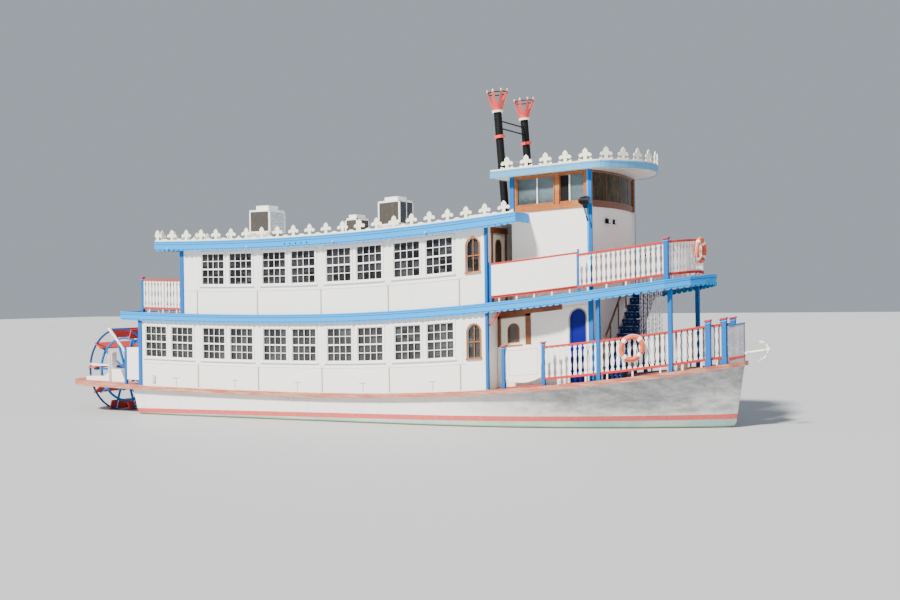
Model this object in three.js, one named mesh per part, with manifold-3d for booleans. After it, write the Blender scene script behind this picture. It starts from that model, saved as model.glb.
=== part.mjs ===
// Stern-wheel excursion paddle steamer, about 24.7 m long over its wheel platform and anchor.
// Units are millimetres, +X runs to the bow, +Y to port and +Z up.
// The ship is drawn with X = 0 at the aft corner of the deckhouse and Z = 0 at the waterline, then
// the whole group is moved so that its origin lies amidships on the flat bottom.

import * as THREE from 'three';
import { mergeVertices } from 'three/addons/utils/BufferGeometryUtils.js';
import Module from 'manifold-3d';

const wasm = await Module();
wasm.setup();

// Driving dimensions
const GAP = 0.3;
const FAR = 9000;
const DRAFT = 750;
const MIDSHIP = 8400;
const BAY = 2440;
const BAYS = 5;
const HALF_BEAM = 2600;
const WALL = 60;
const DECK = 120;
const MAIN = 900;
const UPPER = 3330;
const ROOF = 5670;
const HOUSE_END = BAYS * BAY + 880;
const UPPER_START = 1840;
const WINDOW = { width: 900, height: 1035, sillMain: 975, sillUpper: 1010, inPair: [0.269, 0.727] };
const ARCH = { width: 410, height: 950, x: 12655, below: 35 };

// Sheer of the decks, in straight pieces between frames set half a bay apart
const KNOT = BAY / 2;
const FIRST_KNOT = -4;
const LAST_KNOT = 17;
const mainCurve = x => (x < 7000 ? 1.8e-6 : 6.0e-6) * (x - 7000) ** 2;
const upperCurve = x => (x < 6200 ? 3.0e-6 : 6.2e-6) * (x - 6200) ** 2;
const roofCurve = x => (x < 4500 ? 4.0e-6 : 5.2e-6) * (x - 4500) ** 2;

function straightBetweenKnots(curve, x) {
  const k = Math.floor(x / KNOT);
  const t = x / KNOT - k;
  return curve(k * KNOT) * (1 - t) + curve((k + 1) * KNOT) * t;
}

const sheerMain = x => straightBetweenKnots(mainCurve, x);
const sheerUpper = x => straightBetweenKnots(upperCurve, x);
const sheerRoof = x => straightBetweenKnots(roofCurve, x);

// Rise of a point of the level ship, blended between the main deck, the upper deck and the eaves
const EAVES = 2 * UPPER - MAIN;
function blended(x, z, atEaves) {
  if (z > UPPER) {
    const t = Math.min(1, (z - UPPER) / (EAVES - UPPER));
    return sheerUpper(x) * (1 - t) + atEaves(x) * t;
  }
  const t = Math.max(0, (z - MAIN) / (UPPER - MAIN));
  return sheerMain(x) * (1 - t) + sheerUpper(x) * t;
}
const houseRise = (x, z) => blended(x, z, sheerRoof);

// The pilothouse stands on a straight, gently rising line
const TOWER = { at: 15000, rise: 360, slope: 0.04 };
const towerRise = (x, z) => blended(x, z, at => TOWER.rise + TOWER.slope * (at - TOWER.at));

// Splits triangles at a frame of the sheer, so that a bent solid keeps flat faces between frames
function splitAt(triangles, x) {
  const out = [];
  const onPlane = (a, b) => {
    const [p, q] = a[0] < b[0] ? [a, b] : [b, a];
    const t = (x - p[0]) / (q[0] - p[0]);
    return [x, p[1] + t * (q[1] - p[1]), p[2] + t * (q[2] - p[2])];
  };
  for (const t of triangles) {
    const side = t.map(p => Math.sign(p[0] - x));
    if (!side.includes(1) || !side.includes(-1)) {
      out.push(t);
      continue;
    }
    const zero = side.indexOf(0);
    if (zero >= 0) {
      const [a, b, c] = [t[zero], t[(zero + 1) % 3], t[(zero + 2) % 3]];
      const m = onPlane(b, c);
      out.push([a, b, m], [a, m, c]);
      continue;
    }
    const lone = side.findIndex(s => side.filter(o => o === s).length === 1);
    const [a, b, c] = [t[lone], t[(lone + 1) % 3], t[(lone + 2) % 3]];
    const ab = onPlane(a, b);
    const ac = onPlane(a, c);
    out.push([a, ab, ac], [ab, b, c], [ab, c, ac]);
  }
  return out;
}

const level = () => 0;
let rise = houseRise;

// Makes pieces that follow another rise than the house's
function risingBy(other, make) {
  rise = other;
  const made = make();
  rise = houseRise;
  return made;
}

// A closed solid from three.js geometry, bent to the sheer
function solid(geometry) {
  const position = (geometry.index ? geometry.toNonIndexed() : geometry).attributes.position;
  let triangles = [];
  for (let i = 0; i < position.count; i += 3) {
    triangles.push([0, 1, 2].map(j => [position.getX(i + j), position.getY(i + j), position.getZ(i + j)]));
  }
  if (rise !== level) {
    for (let k = FIRST_KNOT; k <= LAST_KNOT; k += 1) triangles = splitAt(triangles, k * KNOT);
  }
  const bent = triangles.flat().flatMap(([x, y, z]) => [x, y, z + rise(x, z)]);
  const g = new THREE.BufferGeometry();
  g.setAttribute('position', new THREE.BufferAttribute(new Float32Array(bent), 3));
  const merged = mergeVertices(g, 0.01);
  const vertProperties = new Float32Array(merged.attributes.position.array);
  const triVerts = new Uint32Array(merged.index.array).filter((v, i, all) => {
    const t = i - (i % 3);
    return all[t] !== all[t + 1] && all[t + 1] !== all[t + 2] && all[t] !== all[t + 2];
  });
  return new wasm.Manifold(new wasm.Mesh({ numProp: 3, vertProperties, triVerts }));
}

const joined = parts => parts.reduce((a, b) => a.add(b));
const cutBy = (body, tools) => tools.reduce((a, b) => a.subtract(b), body);

// A body through rings of points, closed at both ends
function loft(rings) {
  const n = rings[0].length;
  const index = [];
  for (let i = 0; i + 1 < rings.length; i += 1) {
    for (let j = 0; j < n; j += 1) {
      const [a, b, c, d] = [i * n + j, i * n + ((j + 1) % n), (i + 1) * n + ((j + 1) % n), (i + 1) * n + j];
      index.push(a, b, c, a, c, d);
    }
  }
  const last = (rings.length - 1) * n;
  for (let j = 1; j + 1 < n; j += 1) index.push(0, j + 1, j, last, last + j, last + j + 1);
  const g = new THREE.BufferGeometry();
  g.setAttribute('position', new THREE.BufferAttribute(new Float32Array(rings.flat(2)), 3));
  g.setIndex(index);
  return solid(g);
}

const withKnots = (from, to, extra = []) => {
  const xs = [from, to, ...extra];
  for (let k = FIRST_KNOT; k <= LAST_KNOT; k += 1) xs.push(k * KNOT);
  return [...new Set(xs)].filter(x => x >= from && x <= to).sort((a, b) => a - b);
};

function box(x, y, z) {
  const stations = rise === level ? x : withKnots(x[0], x[1]);
  return loft(stations.map(at => [[at, y[1], z[0]], [at, y[1], z[1]], [at, y[0], z[1]], [at, y[0], z[0]]]));
}

function shapeOf(points, hole) {
  const outline = points.map(p => new THREE.Vector2(p[0], p[1]));
  if (THREE.ShapeUtils.isClockWise(outline)) outline.reverse();
  const shape = new THREE.Shape(outline);
  if (hole) shape.holes.push(new THREE.Path(hole.map(p => new THREE.Vector2(p[0], p[1]))));
  return shape;
}

// A plan drawn in X and Y, raised from z[0] to z[1]
function plan(points, z, hole) {
  const g = new THREE.ExtrudeGeometry(shapeOf(points, hole), { depth: z[1] - z[0], bevelEnabled: false });
  g.translate(0, 0, z[0]);
  return solid(g);
}

// A side view drawn in X and Z, between y[0] and y[1]
function profile(points, y, hole) {
  const g = new THREE.ExtrudeGeometry(shapeOf(points, hole), { depth: y[1] - y[0], bevelEnabled: false });
  g.rotateX(Math.PI / 2);
  g.translate(0, y[1], 0);
  return solid(g);
}

// An end view drawn in Y and Z, between x[0] and x[1]
function section(points, x) {
  const g = new THREE.ExtrudeGeometry(shapeOf(points), { depth: x[1] - x[0], bevelEnabled: false });
  g.rotateX(Math.PI / 2);
  g.rotateZ(Math.PI / 2);
  g.translate(x[0], 0, 0);
  return solid(g);
}

function rod(r, a, b, sides = 10) {
  const from = new THREE.Vector3(...a);
  const to = new THREE.Vector3(...b);
  const g = new THREE.CylinderGeometry(r, r, from.distanceTo(to), sides);
  const along = to.clone().sub(from).normalize();
  g.applyQuaternion(new THREE.Quaternion().setFromUnitVectors(new THREE.Vector3(0, 1, 0), along));
  const middle = from.add(to).multiplyScalar(0.5);
  g.translate(middle.x, middle.y, middle.z);
  return solid(g);
}

const arc = (cx, cy, r, from, to, steps) =>
  Array.from({ length: steps + 1 }, (_, i) => {
    const a = ((from + ((to - from) * i) / steps) * Math.PI) / 180;
    return [cx + r * Math.cos(a), cy + r * Math.sin(a)];
  });

const ship = new THREE.Group();
ship.position.set(-MIDSHIP, 0, DRAFT);

// Paints, named for what they cover
const paint = (color, roughness = 0.5, metalness = 0) =>
  new THREE.MeshStandardMaterial({ color, roughness, metalness });
const PAINT = {
  white: paint(0xf2f2ef),
  deck: paint(0xc9927c, 0.8),
  guard: paint(0xe19682, 0.7),
  blue: paint(0x64bef0),
  red: paint(0xc85555),
  brown: paint(0xb8703a, 0.6),
  door: paint(0x1420c8),
  glass: paint(0x2a3338, 0.1),
  black: paint(0x18181a, 0.6),
  steel: paint(0x8a8f94, 0.4, 0.8),
  ring: paint(0xeb8c6e, 0.6),
  cream: paint(0xfaf8e1),
  grey: paint(0xc8ccd0)
};

function place(name, body, material) {
  const mesh = body.getMesh();
  const g = new THREE.BufferGeometry();
  g.setAttribute('position', new THREE.BufferAttribute(new Float32Array(mesh.vertProperties), 3));
  g.setIndex(new THREE.BufferAttribute(new Uint32Array(mesh.triVerts), 1));
  const piece = new THREE.Mesh(g, material);
  piece.name = name;
  ship.add(piece);
}

const SIDES = [['starboard', -1], ['port', 1]];
const between = (a, b) => [Math.min(a, b), Math.max(a, b)];

// Half-breadths of the decks. Columns: station, half-breadth
const DECK_EDGE = [[-370, 2600], [11000, 2600], [13000, 2570], [14700, 2450], [16300, 2220], [17400, 1880],
  [18400, 1430], [19200, 930], [19700, 480], [19990, 60]];
const UPPER_EDGE = [[-740, 2680], [13000, 2680], [14800, 2560], [16300, 2330], [17400, 2010], [18200, 1680],
  [18800, 1180], [19060, 560], [19120, 80]];
const edgeAt = (rows, x) => {
  const i = Math.max(1, rows.findIndex(r => r[0] >= x));
  const [a, b] = [rows[i - 1], rows[i]];
  return a[1] + ((b[1] - a[1]) * (x - a[0])) / (b[0] - a[0]);
};

// A deck of the level ship, or a band of its outline, from a table of half-breadths
function slab(edge, z) {
  const xs = withKnots(edge[0][0], edge.at(-1)[0], edge.map(r => r[0]));
  return loft(xs.map(x => {
    const y = edgeAt(edge, x);
    return [[x, y, z[0]], [x, y, z[1]], [x, -y, z[1]], [x, -y, z[0]]];
  }));
}

// Hull: flat bottom, chine, side and deck edge at each station
// Columns: x at deck, keel z, half-breadths of bottom, chine and side, chine z, x shift of keel, chine, side
const SIDE_Z = 150;
const HULL_ROWS = [
  [-370, -50, 2300, 2480, 2560, 20, 190, 170, 150],
  [2600, -DRAFT, 2200, 2480, 2590, -480, 0, 0, 0],
  [11000, -DRAFT, 2150, 2450, 2560, -480, 0, 0, 0],
  [13000, -DRAFT, 1900, 2250, 2400, -480, 0, 0, 0],
  [14700, -DRAFT, 1500, 1850, 2080, -480, 0, 0, 0],
  [16300, -DRAFT, 1000, 1350, 1600, -460, 0, 0, 0],
  [17400, -720, 620, 950, 1200, -420, -60, -40, -20],
  [18400, -620, 330, 560, 760, -330, -150, -90, -40],
  [19200, -430, 140, 260, 400, -170, -300, -160, -70],
  [19700, -200, 50, 90, 160, 0, -420, -210, -120],
  [19990, 0, 12, 14, 18, 90, -330, -290, -250]
];

function hullSolid() {
  const xs = withKnots(-370, 19990, HULL_ROWS.map(r => r[0]));
  const rowAt = x => {
    const i = Math.max(1, HULL_ROWS.findIndex(r => r[0] >= x));
    const [a, b] = [HULL_ROWS[i - 1], HULL_ROWS[i]];
    return a.map((v, j) => v + ((b[j] - v) * (x - a[0])) / (b[0] - a[0]));
  };
  const rings = xs.map(x => {
    const [, keel, bottom, chine, side, chineZ, keelX, chineX, sideX] = rowAt(x);
    const top = MAIN + sheerMain(x) - DECK - GAP;
    const half = [[x + keelX, bottom, keel], [x + chineX, chine, chineZ], [x + sideX, side, SIDE_Z],
      [x, edgeAt(DECK_EDGE, x), top]];
    return [...half, ...half.slice().reverse().map(([a, b, c]) => [a, -b, c])];
  });
  return risingBy(level, () => loft(rings));
}
const RUDDER = { x: 330, y: 1150, z: [-690, -330], stock: 45, boss: 90, seat: -225 };
const bosses = risingBy(level, () => joined(SIDES.map(([, s]) =>
  rod(RUDDER.boss, [RUDDER.x, s * RUDDER.y, RUDDER.seat], [RUDDER.x, s * RUDDER.y, 0], 16))));
place('hull', hullSolid().add(bosses), PAINT.white);

// Decks
place('main_deck', slab(DECK_EDGE, [MAIN - DECK, MAIN]), PAINT.deck);

const GUARD = { out: 150, drop: 130 };
const guardOuter = DECK_EDGE.map(([x, y]) => [x < 19900 ? x : 20060, y + GUARD.out]);
const deckHole = DECK_EDGE.map(([x, y]) => [x < 0 ? x - 1 : x + (y < 100 ? GAP : 0), y + GAP]);
place('guard', slab(guardOuter, [MAIN - GUARD.drop, MAIN]).subtract(slab(deckHole, [MAIN - 400, MAIN + 400])),
  PAINT.guard);

// Stern platform round the wheel well
const WHEEL = { x: -1980, z: 1430, r: 1520, half: 1450, boards: 10 };
const WELL = { x: [-3560, -440], half: 1620 };
const FANTAIL = { end: -3900, half: 2600, corner: 1500, z: [MAIN - 150, MAIN] };
const fantail = [
  [-370 - GAP, -FANTAIL.half],
  ...arc(FANTAIL.end + FANTAIL.corner, -FANTAIL.half + FANTAIL.corner, FANTAIL.corner, 270, 180, 7),
  ...arc(FANTAIL.end + FANTAIL.corner, FANTAIL.half - FANTAIL.corner, FANTAIL.corner, 180, 90, 7),
  [-370 - GAP, FANTAIL.half]
];
const well = [[WELL.x[0], -WELL.half], [WELL.x[0], WELL.half],
  [WELL.x[1], WELL.half], [WELL.x[1], -WELL.half]];
place('stern_platform', plan(fantail, FANTAIL.z, well), PAINT.guard);

// Wheel: shaft, two spiders and a middle one, and the boards on their rings
const SPIDER = { ring: 1110, width: 70, depth: 60 };
const BOARD = { width: 340, thick: 45 };
function spider(y) {
  const parts = [];
  for (let i = 0; i < WHEEL.boards; i += 1) {
    const a = (i * 2 * Math.PI) / WHEEL.boards;
    const arm = new THREE.BoxGeometry(WHEEL.r - 180, SPIDER.depth, SPIDER.width);
    arm.translate((WHEEL.r - 180) / 2 + 120, 0, 0);
    arm.rotateY(a);
    arm.translate(WHEEL.x, y, WHEEL.z);
    parts.push(solid(arm));
  }
  const ring = n => arc(WHEEL.x, WHEEL.z, n, 0, 360 - 360 / 20, 19);
  parts.push(profile(ring(SPIDER.ring + 35), [y - 25, y + 25], ring(SPIDER.ring - 35)));
  parts.push(profile(ring(150), [y - 60, y + 60]));
  return joined(parts);
}
const SPIDERS = [-WHEEL.half + 250, 0, WHEEL.half - 250];
const SHAFT = { r: 50, bore: 51, half: 1980 };
const shaft = () => rod(SHAFT.r, [WHEEL.x, -SHAFT.half, WHEEL.z], [WHEEL.x, SHAFT.half, WHEEL.z], 16);
place('paddle_wheel', risingBy(level, () => joined([shaft(), ...SPIDERS.map(spider)])), PAINT.blue);

function boards() {
  const parts = [];
  for (let i = 0; i < WHEEL.boards; i += 1) {
    const a = (i * 2 * Math.PI) / WHEEL.boards;
    const board = new THREE.BoxGeometry(BOARD.width, 2 * WHEEL.half, BOARD.thick);
    board.translate(WHEEL.r - BOARD.width / 2, 0, -SPIDER.width / 2 - BOARD.thick / 2 - GAP);
    board.rotateY(a);
    board.translate(WHEEL.x, 0, WHEEL.z);
    parts.push(solid(board));
  }
  const ring = n => arc(WHEEL.x, WHEEL.z, n, 0, 360 - 360 / 20, 19);
  for (const y of [-WHEEL.half + 40, WHEEL.half - 40]) {
    parts.push(profile(ring(WHEEL.r - 40), [y - 20, y + 20], ring(WHEEL.r - 100)));
  }
  return joined(parts);
}
place('paddle_boards', risingBy(level, boards), PAINT.red);

// Bearers on the platform: a coaming, the post that carries the shaft, and a bar from the post aft
const BEARER = {
  y: [1720, 1960],
  post: { half: 85, top: 1900 },
  bar: { x: -2980, y: [1860, 1930], z: [1415, 1475] }
};
const coaming = [[-3100, MAIN + GAP], [-1300, MAIN + GAP], [-1500, 1330], [-1850, 1330], [-2300, 1060],
  [-3100, 1020]];
const bearerBore = risingBy(level, () =>
  rod(SHAFT.bore, [WHEEL.x, -2100, WHEEL.z], [WHEEL.x, 2100, WHEEL.z], 24));
for (const [side, s] of SIDES) {
  const y = between(s * BEARER.y[0], s * BEARER.y[1]);
  const { post, bar } = BEARER;
  const bearer = joined([profile(coaming, y),
    box([WHEEL.x - post.half, WHEEL.x + post.half], y, [MAIN + GAP, post.top]),
    box([bar.x, WHEEL.x], between(s * bar.y[0], s * bar.y[1]), bar.z)]);
  place(`wheel_bearing_${side}`, bearer.subtract(bearerBore), PAINT.grey);
}

// Rudders under the stern rake
for (const [side, s] of SIDES) {
  const y = s * RUDDER.y;
  const rudder = () => box([-450, 750], [y - 25, y + 25], RUDDER.z)
    .add(rod(RUDDER.stock, [RUDDER.x, y, -600], [RUDDER.x, y, RUDDER.seat - GAP], 16));
  place(`rudder_${side}`, risingBy(level, rudder), PAINT.steel);
}

// Houses: walls with their windows cut
const windowBay = sill => {
  const cuts = [];
  for (const at of WINDOW.inPair) cuts.push({ x: at * BAY, z: sill });
  return cuts;
};
const archTool = (x, z0, width, height, y) => profile([[x - width / 2, z0], [x + width / 2, z0],
  ...arc(x, z0 + height - width / 2, width / 2, 0, 180, 6)], y);

function houseSide(s, x, z, sill, firstBay) {
  const y = between(s * HALF_BEAM, s * (HALF_BEAM - WALL));
  const through = [y[0] - 50, y[1] + 50];
  const tools = [];
  for (let bay = firstBay; bay < BAYS; bay += 1) {
    for (const cut of windowBay(sill)) {
      const middle = bay * BAY + cut.x;
      tools.push(box([middle - WINDOW.width / 2, middle + WINDOW.width / 2], through,
        [z[0] + sill, z[0] + sill + WINDOW.height]));
    }
  }
  tools.push(archTool(ARCH.x, z[0] + sill - ARCH.below, ARCH.width, ARCH.height, through));
  return cutBy(box(x, y, z), tools);
}

const STOREYS = [
  { name: 'main', x: [0, HOUSE_END], z: [MAIN + GAP, UPPER - DECK - GAP],
    sill: WINDOW.sillMain, firstBay: 0 },
  { name: 'upper', x: [UPPER_START, HOUSE_END], z: [UPPER + GAP, ROOF - 60 - GAP],
    sill: WINDOW.sillUpper, firstBay: 1 }
];
const DOOR = { width: 860, height: 2020, thick: 45, gap: 8, knuckle: 7.7 };
const knuckle = (r, x, y, z) => joined([0.12, 0.8].map(part => {
  const low = z[0] + part * (z[1] - z[0]);
  return rod(r, [x, y, low], [x, y, low + 120], 12);
}));
const CORNER_POST = { aft: [-95, 45], fore: [-35, 50], y: [2540, 2635] };
for (const s of STOREYS) {
  for (const [side, sign] of SIDES) {
    const y = between(sign * CORNER_POST.y[0], sign * CORNER_POST.y[1]);
    const ends = [CORNER_POST.fore.map(by => HOUSE_END + by)];
    if (s.name === 'main') ends.push(CORNER_POST.aft);
    const wall = houseSide(sign, s.x, s.z, s.sill, s.firstBay);
    place(`${s.name}_wall_${side}`, joined([wall, ...ends.map(x => box(x, y, s.z))]), PAINT.white);
    const pane = between(sign * (HALF_BEAM - WALL - GAP), sign * (HALF_BEAM - WALL - 8));
    const glass = box([s.x[0] + 200, ARCH.x + 260], pane,
      [s.z[0] + s.sill - 40, s.z[0] + s.sill + WINDOW.height + 40]);
    place(`${s.name}_glass_${side}`, glass, PAINT.glass);
  }
}

// End walls lie between the side walls. A door opening is a place across and the side it is on
const endWall = (x, z, doors) => cutBy(box(x, [-HALF_BEAM + WALL + GAP, HALF_BEAM - WALL - GAP], z),
  doors.map(y => box([x[0] - 50, x[1] + 50], [y - DOOR.width / 2, y + DOOR.width / 2],
    [z[0] - 50, z[0] + DOOR.height])));
const UPPER_DOOR_Y = 1700;
for (const s of STOREYS) {
  place(`${s.name}_wall_aft`, endWall([s.x[0] + GAP, s.x[0] + WALL], s.z, [0]), PAINT.white);
  const doors = s.name === 'upper' ? [-UPPER_DOOR_Y, UPPER_DOOR_Y] : [];
  place(`${s.name}_wall_front`, endWall([s.x[1] - WALL, s.x[1] - GAP], s.z, doors), PAINT.white);
}

// A door leaf in a wall that faces fore and aft, hinged at its inner face on the side given
function endDoor(name, x, y, z, hinge) {
  const z2 = [z + 12, z + DOOR.height - DOOR.gap - 12];
  const leaf = () => box(x, [y - DOOR.width / 2 + DOOR.gap, y + DOOR.width / 2 - DOOR.gap], z2)
    .add(knuckle(DOOR.knuckle, hinge.x, y + hinge.side * (DOOR.width / 2 - DOOR.gap), z2));
  place(name, risingBy((along, up) => houseRise(x[0], up), leaf), PAINT.brown);
}
for (const [name, x, z] of [['door_main_aft', 5, MAIN], ['door_upper_aft', UPPER_START + 5, UPPER]]) {
  endDoor(name, [x, x + DOOR.thick], 0, z, { x: x + DOOR.thick, side: 1 });
}
for (const [side, s] of SIDES) {
  const x = [HOUSE_END - 5 - DOOR.thick, HOUSE_END - 5];
  endDoor(`door_upper_${side}`, x, s * UPPER_DOOR_Y, UPPER, { x: x[0], side: s });
}

// Upper deck, with the stair opening, and its blue fascia
const STAIR = {
  x: [16310, 16960], foot: -1700, top: 1150, steps: 12,
  clear: 20, well: [-400, 1400], deep: 400
};
const stairWell = box([STAIR.x[0] - STAIR.clear, STAIR.x[1] + STAIR.clear], STAIR.well,
  [UPPER - STAIR.deep, UPPER + STAIR.deep]);
place('upper_deck', slab(UPPER_EDGE, [UPPER - DECK, UPPER]).subtract(stairWell), PAINT.deck);
const FASCIA = { out: 45, z: [UPPER - 190, UPPER + 40] };
const grown = (edge, by) =>
  edge.map(([x, y], i) => [x + (i === 0 ? -by : 0) + (i === edge.length - 1 ? by : 0), y + by]);
place('upper_fascia', slab(grown(UPPER_EDGE, FASCIA.out), FASCIA.z)
  .subtract(slab(grown(UPPER_EDGE, GAP), [FASCIA.z[0] - 50, FASCIA.z[1] + 50])), PAINT.blue);

// House roof, notched round the pilothouse trunk, with fascia and crest
const TRUNK = { x: [13600, 16040], half: 1870, nose: 240 };
const ROOF_PLAN = { x: [880, 14100], half: 2780 };
const notch = box([TRUNK.x[0] - 5, 15000], [-TRUNK.half - 5, TRUNK.half + 5], [ROOF - 900, ROOF + 900]);
const roofBox = (grow, z) => box([ROOF_PLAN.x[0] - grow, ROOF_PLAN.x[1] + grow],
  [-ROOF_PLAN.half - grow, ROOF_PLAN.half + grow], z);
place('house_roof', cutBy(roofBox(0, [ROOF - 60, ROOF + 60]), [notch]), PAINT.white);
const EDGE_Z = [ROOF - 130, ROOF + 130];
const roofEdge = cutBy(roofBox(45, EDGE_Z), [roofBox(GAP, [ROOF - 900, ROOF + 900])]);
place('roof_fascia', cutBy(roofEdge, [notch]), PAINT.blue);

// A crest is a board with lobed finials on it. Half outline of a finial: x from its middle, height
const FINIAL = { pitch: 610, board: 60, thick: 35, sunk: 10 };
const FINIAL_HALF = [[48, 0], [95, 58], [170, 112], [115, 178], [68, 172], [58, 262], [0, 335]];
const finialOutline = [...FINIAL_HALF, ...FINIAL_HALF.slice(0, -1).reverse().map(([x, z]) => [-x, z])];
function finialAt([x, y], heading, z) {
  const g = new THREE.ExtrudeGeometry(shapeOf(finialOutline), { depth: FINIAL.thick, bevelEnabled: false });
  g.rotateX(Math.PI / 2);
  g.translate(0, FINIAL.thick / 2, z);
  g.rotateZ(heading);
  g.translate(x, y, 0);
  return solid(g);
}

// Finials at an even pitch along a line of plan points, the first at a given length of it
function finialsAlong(line, z, first, pitch) {
  const parts = [];
  let next = first;
  let past = 0;
  for (let i = 0; i + 1 < line.length; i += 1) {
    const [a, b] = [line[i], line[i + 1]];
    const length = Math.hypot(b[0] - a[0], b[1] - a[1]);
    for (; next < past + length; next += pitch) {
      const t = (next - past) / length;
      const at = [a[0] + (b[0] - a[0]) * t, a[1] + (b[1] - a[1]) * t];
      parts.push(finialAt(at, Math.atan2(b[1] - a[1], b[0] - a[0]), z + FINIAL.board - FINIAL.sunk));
    }
    past += length;
  }
  return parts;
}
const crestZ = EDGE_Z[1] + GAP;
const CREST = { out: 22, edges: [5, 40], first: 960, clear: 280 };
function roofCrest() {
  const [x0, x1] = ROOF_PLAN.x;
  const y = ROOF_PLAN.half + CREST.out;
  const aft = x0 - CREST.out;
  const across = 2 * y;
  const inRow = Math.floor(across / FINIAL.pitch);
  const board = roofBox(CREST.edges[1], [crestZ, crestZ + FINIAL.board]);
  const parts = [cutBy(board, [roofBox(CREST.edges[0], [0, FAR]), notch]),
    ...finialsAlong([[aft, -y], [aft, y]], crestZ, (across - (inRow - 1) * FINIAL.pitch) / 2, FINIAL.pitch)];
  for (const [, s] of SIDES) {
    const run = [[aft, s * y], [x1 - CREST.clear, s * y]];
    parts.push(...finialsAlong(run, crestZ, CREST.first - aft, FINIAL.pitch));
  }
  return joined(parts);
}
place('roof_crest', roofCrest(), PAINT.cream);

// Fore cabin under the upper deck
const CABIN = { x: [HOUSE_END + GAP, TRUNK.x[1]], half: TRUNK.half, z: [MAIN + GAP, UPPER - DECK - GAP] };
const SIDE_DOORS = [
  { name: 'brown', x: 13600, width: 800, height: 2000 },
  { name: 'blue', x: 15660, width: 600, height: 2080 }
];
const cabinShell = cutBy(box(CABIN.x, [-CABIN.half, CABIN.half], CABIN.z),
  [box([CABIN.x[0] - 50, CABIN.x[1] - WALL], [-CABIN.half + WALL, CABIN.half - WALL], [0, UPPER + 400]),
    ...SIDE_DOORS.map(d => box([d.x - d.width / 2, d.x + d.width / 2], [-CABIN.half - 50, CABIN.half + 50],
      [0, MAIN + d.height]))]);
for (const d of SIDE_DOORS) {
  for (const [side, s] of SIDES) {
    const y = between(s * (CABIN.half - 5), s * (CABIN.half - 5 - DOOR.thick));
    const x = [d.x - d.width / 2 + DOOR.gap, d.x + d.width / 2 - DOOR.gap];
    const z = [MAIN + 12, MAIN + d.height - DOOR.gap];
    const leaf = box(x, y, z).add(knuckle(DOOR.knuckle, x[0], s * (CABIN.half - 5 - DOOR.thick), z));
    place(`door_${d.name}_${side}`, leaf, d.name === 'blue' ? PAINT.door : PAINT.brown);
  }
}
place('cabin_walls', cabinShell, PAINT.white);

// Pilothouse on its trunk: bowed front, brown window band and a flat roof
const bowed = (grow, from = TRUNK.x[0]) => {
  const nose = TRUNK.nose;
  const half = TRUNK.half + grow;
  const r = (half * half + nose * nose) / (2 * nose);
  const sweep = (Math.asin(half / r) * 180) / Math.PI;
  const across = arc(TRUNK.x[1] + nose + grow - r, 0, r, -sweep, sweep, 8);
  return [[from - grow, -half], ...across, [from - grow, half]];
};
const SILL = 6025;
const BAND = { z: [SILL + GAP, SILL + 1040], sillRail: 175, headRail: 60, pane: 8, edge: 40 };
const tower = make => risingBy(towerRise, make);
const bandZ = [BAND.z[0] + BAND.sillRail, BAND.z[1] - BAND.headRail];
const SIDE_PANES = [[13760, 14960], [15120, 15900]];
const FRONT_PANES = { x: [15950, 17500], y: [-1290, -400, 490], wide: 800 };
const REAR_PANE = { x: [13000, 13900], y: [-900, 900] };
const PILOT_FLOOR = [4950, 5030];
const trunkWalls = () => cutBy(plan(bowed(0), [UPPER + GAP, SILL]),
  [plan(bowed(-WALL), [UPPER - 50, PILOT_FLOOR[0]]), plan(bowed(-WALL), [PILOT_FLOOR[1], SILL + 50])]);
const TRUNK_POST = { fore: [15990, 16130], aft: [13560, 13690], y: [1812, 1905] };
const trunkPosts = (x, z) => SIDES.map(([, s]) =>
  box(x, between(s * TRUNK_POST.y[0], s * TRUNK_POST.y[1]), z));
place('trunk_walls', tower(() => joined([trunkWalls(), ...trunkPosts(TRUNK_POST.fore, [UPPER + GAP, SILL])])),
  PAINT.white);
const bandWindows = () => [
  ...SIDE_PANES.map(x => box(x, [-HALF_BEAM, HALF_BEAM], bandZ)),
  ...FRONT_PANES.y.map(y => box(FRONT_PANES.x, [y, y + FRONT_PANES.wide], bandZ)),
  box(REAR_PANE.x, REAR_PANE.y, bandZ)
];
const bandFrame = () => cutBy(plan(bowed(0), BAND.z).subtract(plan(bowed(-WALL), [0, FAR])), bandWindows());
place('pilothouse_frame', tower(() => joined([bandFrame(), ...trunkPosts(TRUNK_POST.fore, BAND.z),
  ...trunkPosts(TRUNK_POST.aft, BAND.z)])), PAINT.brown);
const paneZ = [BAND.z[0] + BAND.edge, BAND.z[1] - BAND.edge];
place('pilothouse_glass', tower(() => plan(bowed(-WALL - GAP), paneZ)
  .subtract(plan(bowed(-WALL - BAND.pane), [0, FAR]))), PAINT.glass);
const PILOT_ROOF = { from: 13050, over: 330, z: [BAND.z[1] + GAP, BAND.z[1] + 210] };
const VISOR = { from: 16000, reach: 700, half: 2300, out: 60 };
const visor = (x, y) => x + VISOR.reach * Math.max(0, 1 - (y / VISOR.half) ** 2) + VISOR.out;
const roofPlan = grow => bowed(PILOT_ROOF.over + grow, PILOT_ROOF.from + PILOT_ROOF.over)
  .map(([x, y]) => [x > VISOR.from ? visor(x, y) : x, y]);
place('pilothouse_roof', tower(() => plan(roofPlan(0), PILOT_ROOF.z)), PAINT.blue);
const pilotCrestZ = PILOT_ROOF.z[1] + GAP;
const PILOT_CREST = { first: 530, edges: [-8, -44], line: -26 };
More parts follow.
